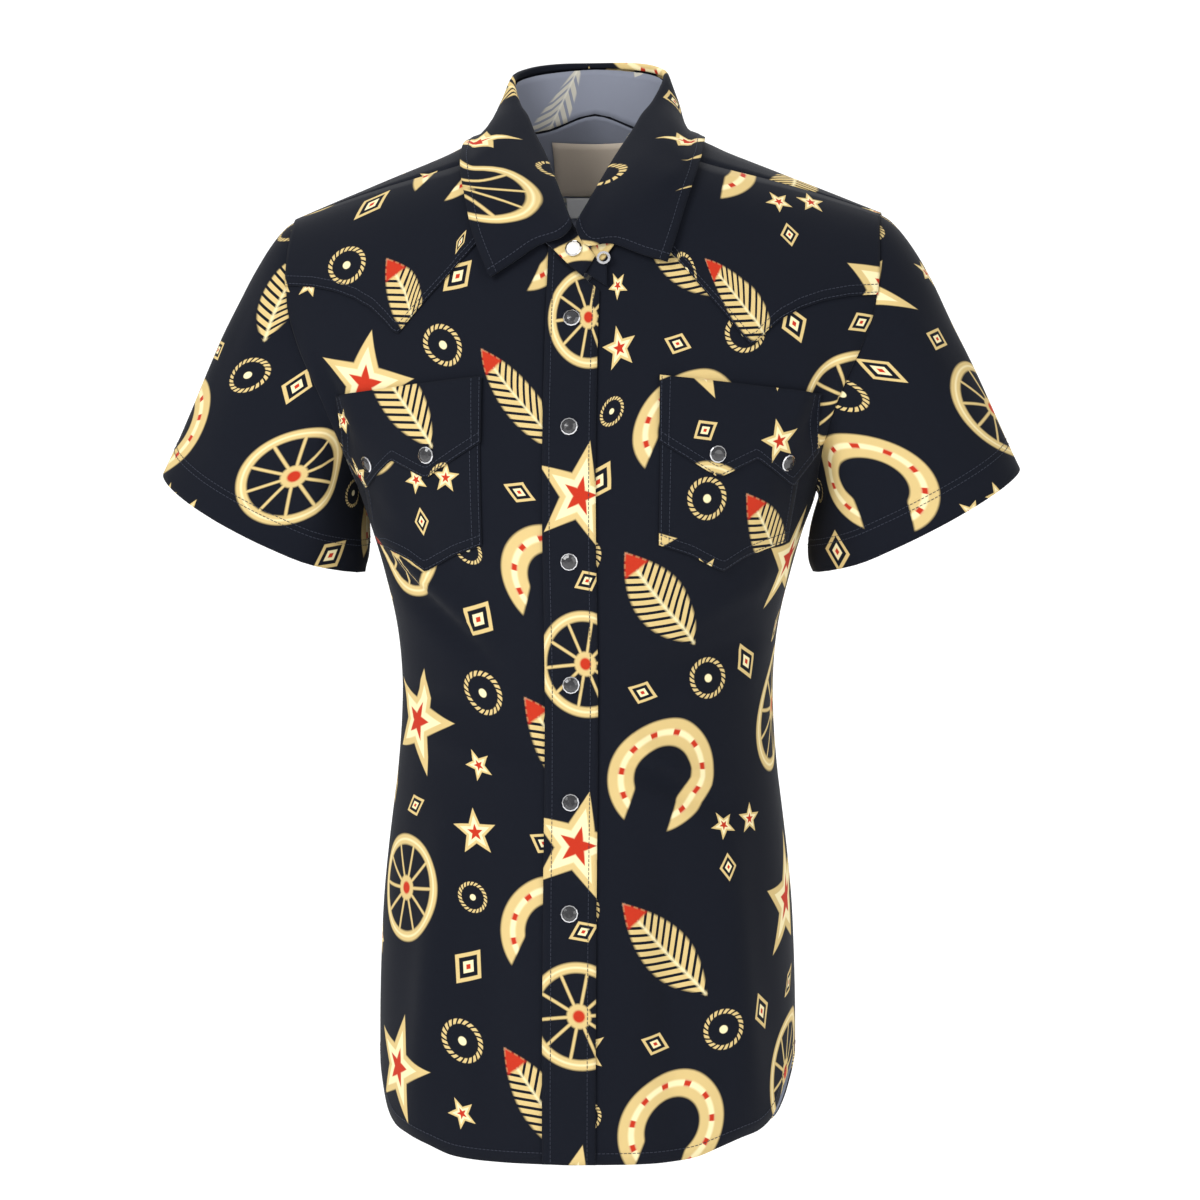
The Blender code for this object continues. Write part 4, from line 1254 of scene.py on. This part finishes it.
def inset_line(grid, normals, edge, inset):
    """A line of points inside a grid, a set way in from its top, bottom, left or right edge."""
    if edge in "lr":
        grid = [[line[j] for line in grid] for j in range(len(grid[0]))]
        normals = [[line[j] for line in normals] for j in range(len(normals[0]))]
        edge = "t" if edge == "l" else "b"
    if edge == "b":
        grid, normals = grid[::-1], normals[::-1]
    line, ways = [], []
    for j in range(len(grid[0])):
        lengths = run_lengths([row[j] for row in grid])
        i = 1
        while lengths[i] < inset and i < len(lengths) - 1:
            i += 1
        share = min(1.0, (inset - lengths[i - 1]) / max(1e-9, lengths[i] - lengths[i - 1]))
        line.append(grid[i - 1][j].lerp(grid[i][j], share) + normals[i][j] * 0.00005)
        ways.append(normals[i][j])
    return line, ways


def sew(grid, edges, insets):
    normals = grid_normals(grid)
    for edge in edges:
        for inset in insets:
            stitch_row(*inset_line(grid, normals, edge, inset))


for name, grid in yokes.items():
    sew(grid, "b", (0.0015, 0.0075))
for name, grid in trims.items():
    sew(grid, "lr" if name == "placket_right" else "lrb", (0.0015, 0.0075) if "placket" not in name else (0.0060,))
for name in panels:
    sew(panels[name][0], "b", (0.0080,))
for name in sleeves:
    sew(sleeves[name][0], "b", (0.0200, 0.0240))
sew(leaf_coarse, "blr", (0.0060,))
thread_data = bpy.data.meshes.new("topstitching")
thread.to_mesh(thread_data)
thread.free()
thread_data.uv_layers.new(name="cloth")
topstitching = bpy.data.objects.new("topstitching", thread_data)
bpy.context.scene.collection.objects.link(topstitching)
thread_data.materials.append(THREAD)
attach(topstitching, "root")
print("stitches:", len(thread_data.polygons) // 5)

# %% [markdown]
# ## Snaps
# The pearl caps and metal rings are real, hard parts. The solid ones stay, with a pearl and a metal finish.

# %% Finish the snaps
for name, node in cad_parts.items():
    if name.startswith("cap_"):
        finish = WHITE_PEARL if name == "cap_stand" else BLACK_PEARL
        slot = "white_pearl" if name == "cap_stand" else "black_pearl"
    elif name.startswith("ring_") or name == "socket_stand":
        finish, slot = SILVER, "silver_metal"
    else:
        continue
    node.data.materials.clear()
    node.data.materials.append(finish)

# %% [markdown]
# ## Stage, light and camera
# A pale backdrop and large soft lights show dark cloth without hard shadows.

# %% The stage
PAPER_GLOW = 0.40


def stage_plane(name, size, place, tilt):
    mesh = bmesh.new()
    bmesh.ops.create_grid(mesh, x_segments=1, y_segments=1, size=size)
    data = bpy.data.meshes.new(name)
    mesh.to_mesh(data)
    mesh.free()
    plane = bpy.data.objects.new(name, data)
    plane.location, plane.rotation_euler = place, tilt
    bpy.context.scene.collection.objects.link(plane)
    made, shader = principled(name + "_paper", 0.9)
    shader.inputs["Base Color"].default_value = (0.86, 0.86, 0.86, 1)
    shader.inputs["Emission Color"].default_value = (1, 1, 1, 1)
    shader.inputs["Emission Strength"].default_value = PAPER_GLOW
    data.materials.append(made)


# The backdrop stands well beyond a camera that looks from behind
BACKDROP_AWAY = 8.0
stage_plane("floor", 9.0, (0, 0, -1.30), (0, 0, 0))
stage_plane("backdrop", 9.0, (0, BACKDROP_AWAY, 0), (math.radians(90), 0, 0))


def soft_light(name, place, size, power):
    data = bpy.data.lights.new(name, "AREA")
    data.size, data.energy = size, power
    lamp = bpy.data.objects.new(name, data)
    lamp.location = place
    lamp.rotation_euler = (Vector((0, 0, -0.35)) - Vector(place)).to_track_quat("-Z", "Y").to_euler()
    bpy.context.scene.collection.objects.link(lamp)


soft_light("key", (-1.6, -2.4, 1.2), 1.6, 70)
soft_light("fill", (1.9, -2.2, 0.4), 2.0, 22)
soft_light("back_wash", (0.0, 1.4, 1.8), 2.0, 45)
world = bpy.data.worlds.new("room")
world.use_nodes = True
world.node_tree.nodes["Background"].inputs[0].default_value = (1, 1, 1, 1)
world.node_tree.nodes["Background"].inputs[1].default_value = 0.62
bpy.context.scene.world = world

# %% The camera
TURN = math.radians(6)
DISTANCE = 3.0
AIM = Vector((0.009, 0.0, -0.320))
camera_data = bpy.data.cameras.new("camera")
camera_data.lens = 122
camera = bpy.data.objects.new("camera", camera_data)
camera.location = AIM + Vector((DISTANCE * math.sin(TURN), -DISTANCE * math.cos(TURN), 0))
camera.rotation_euler = (math.radians(90), 0, TURN)
bpy.context.scene.collection.objects.link(camera)
bpy.context.scene.camera = camera
bpy.context.scene.view_settings.view_transform = "Standard"
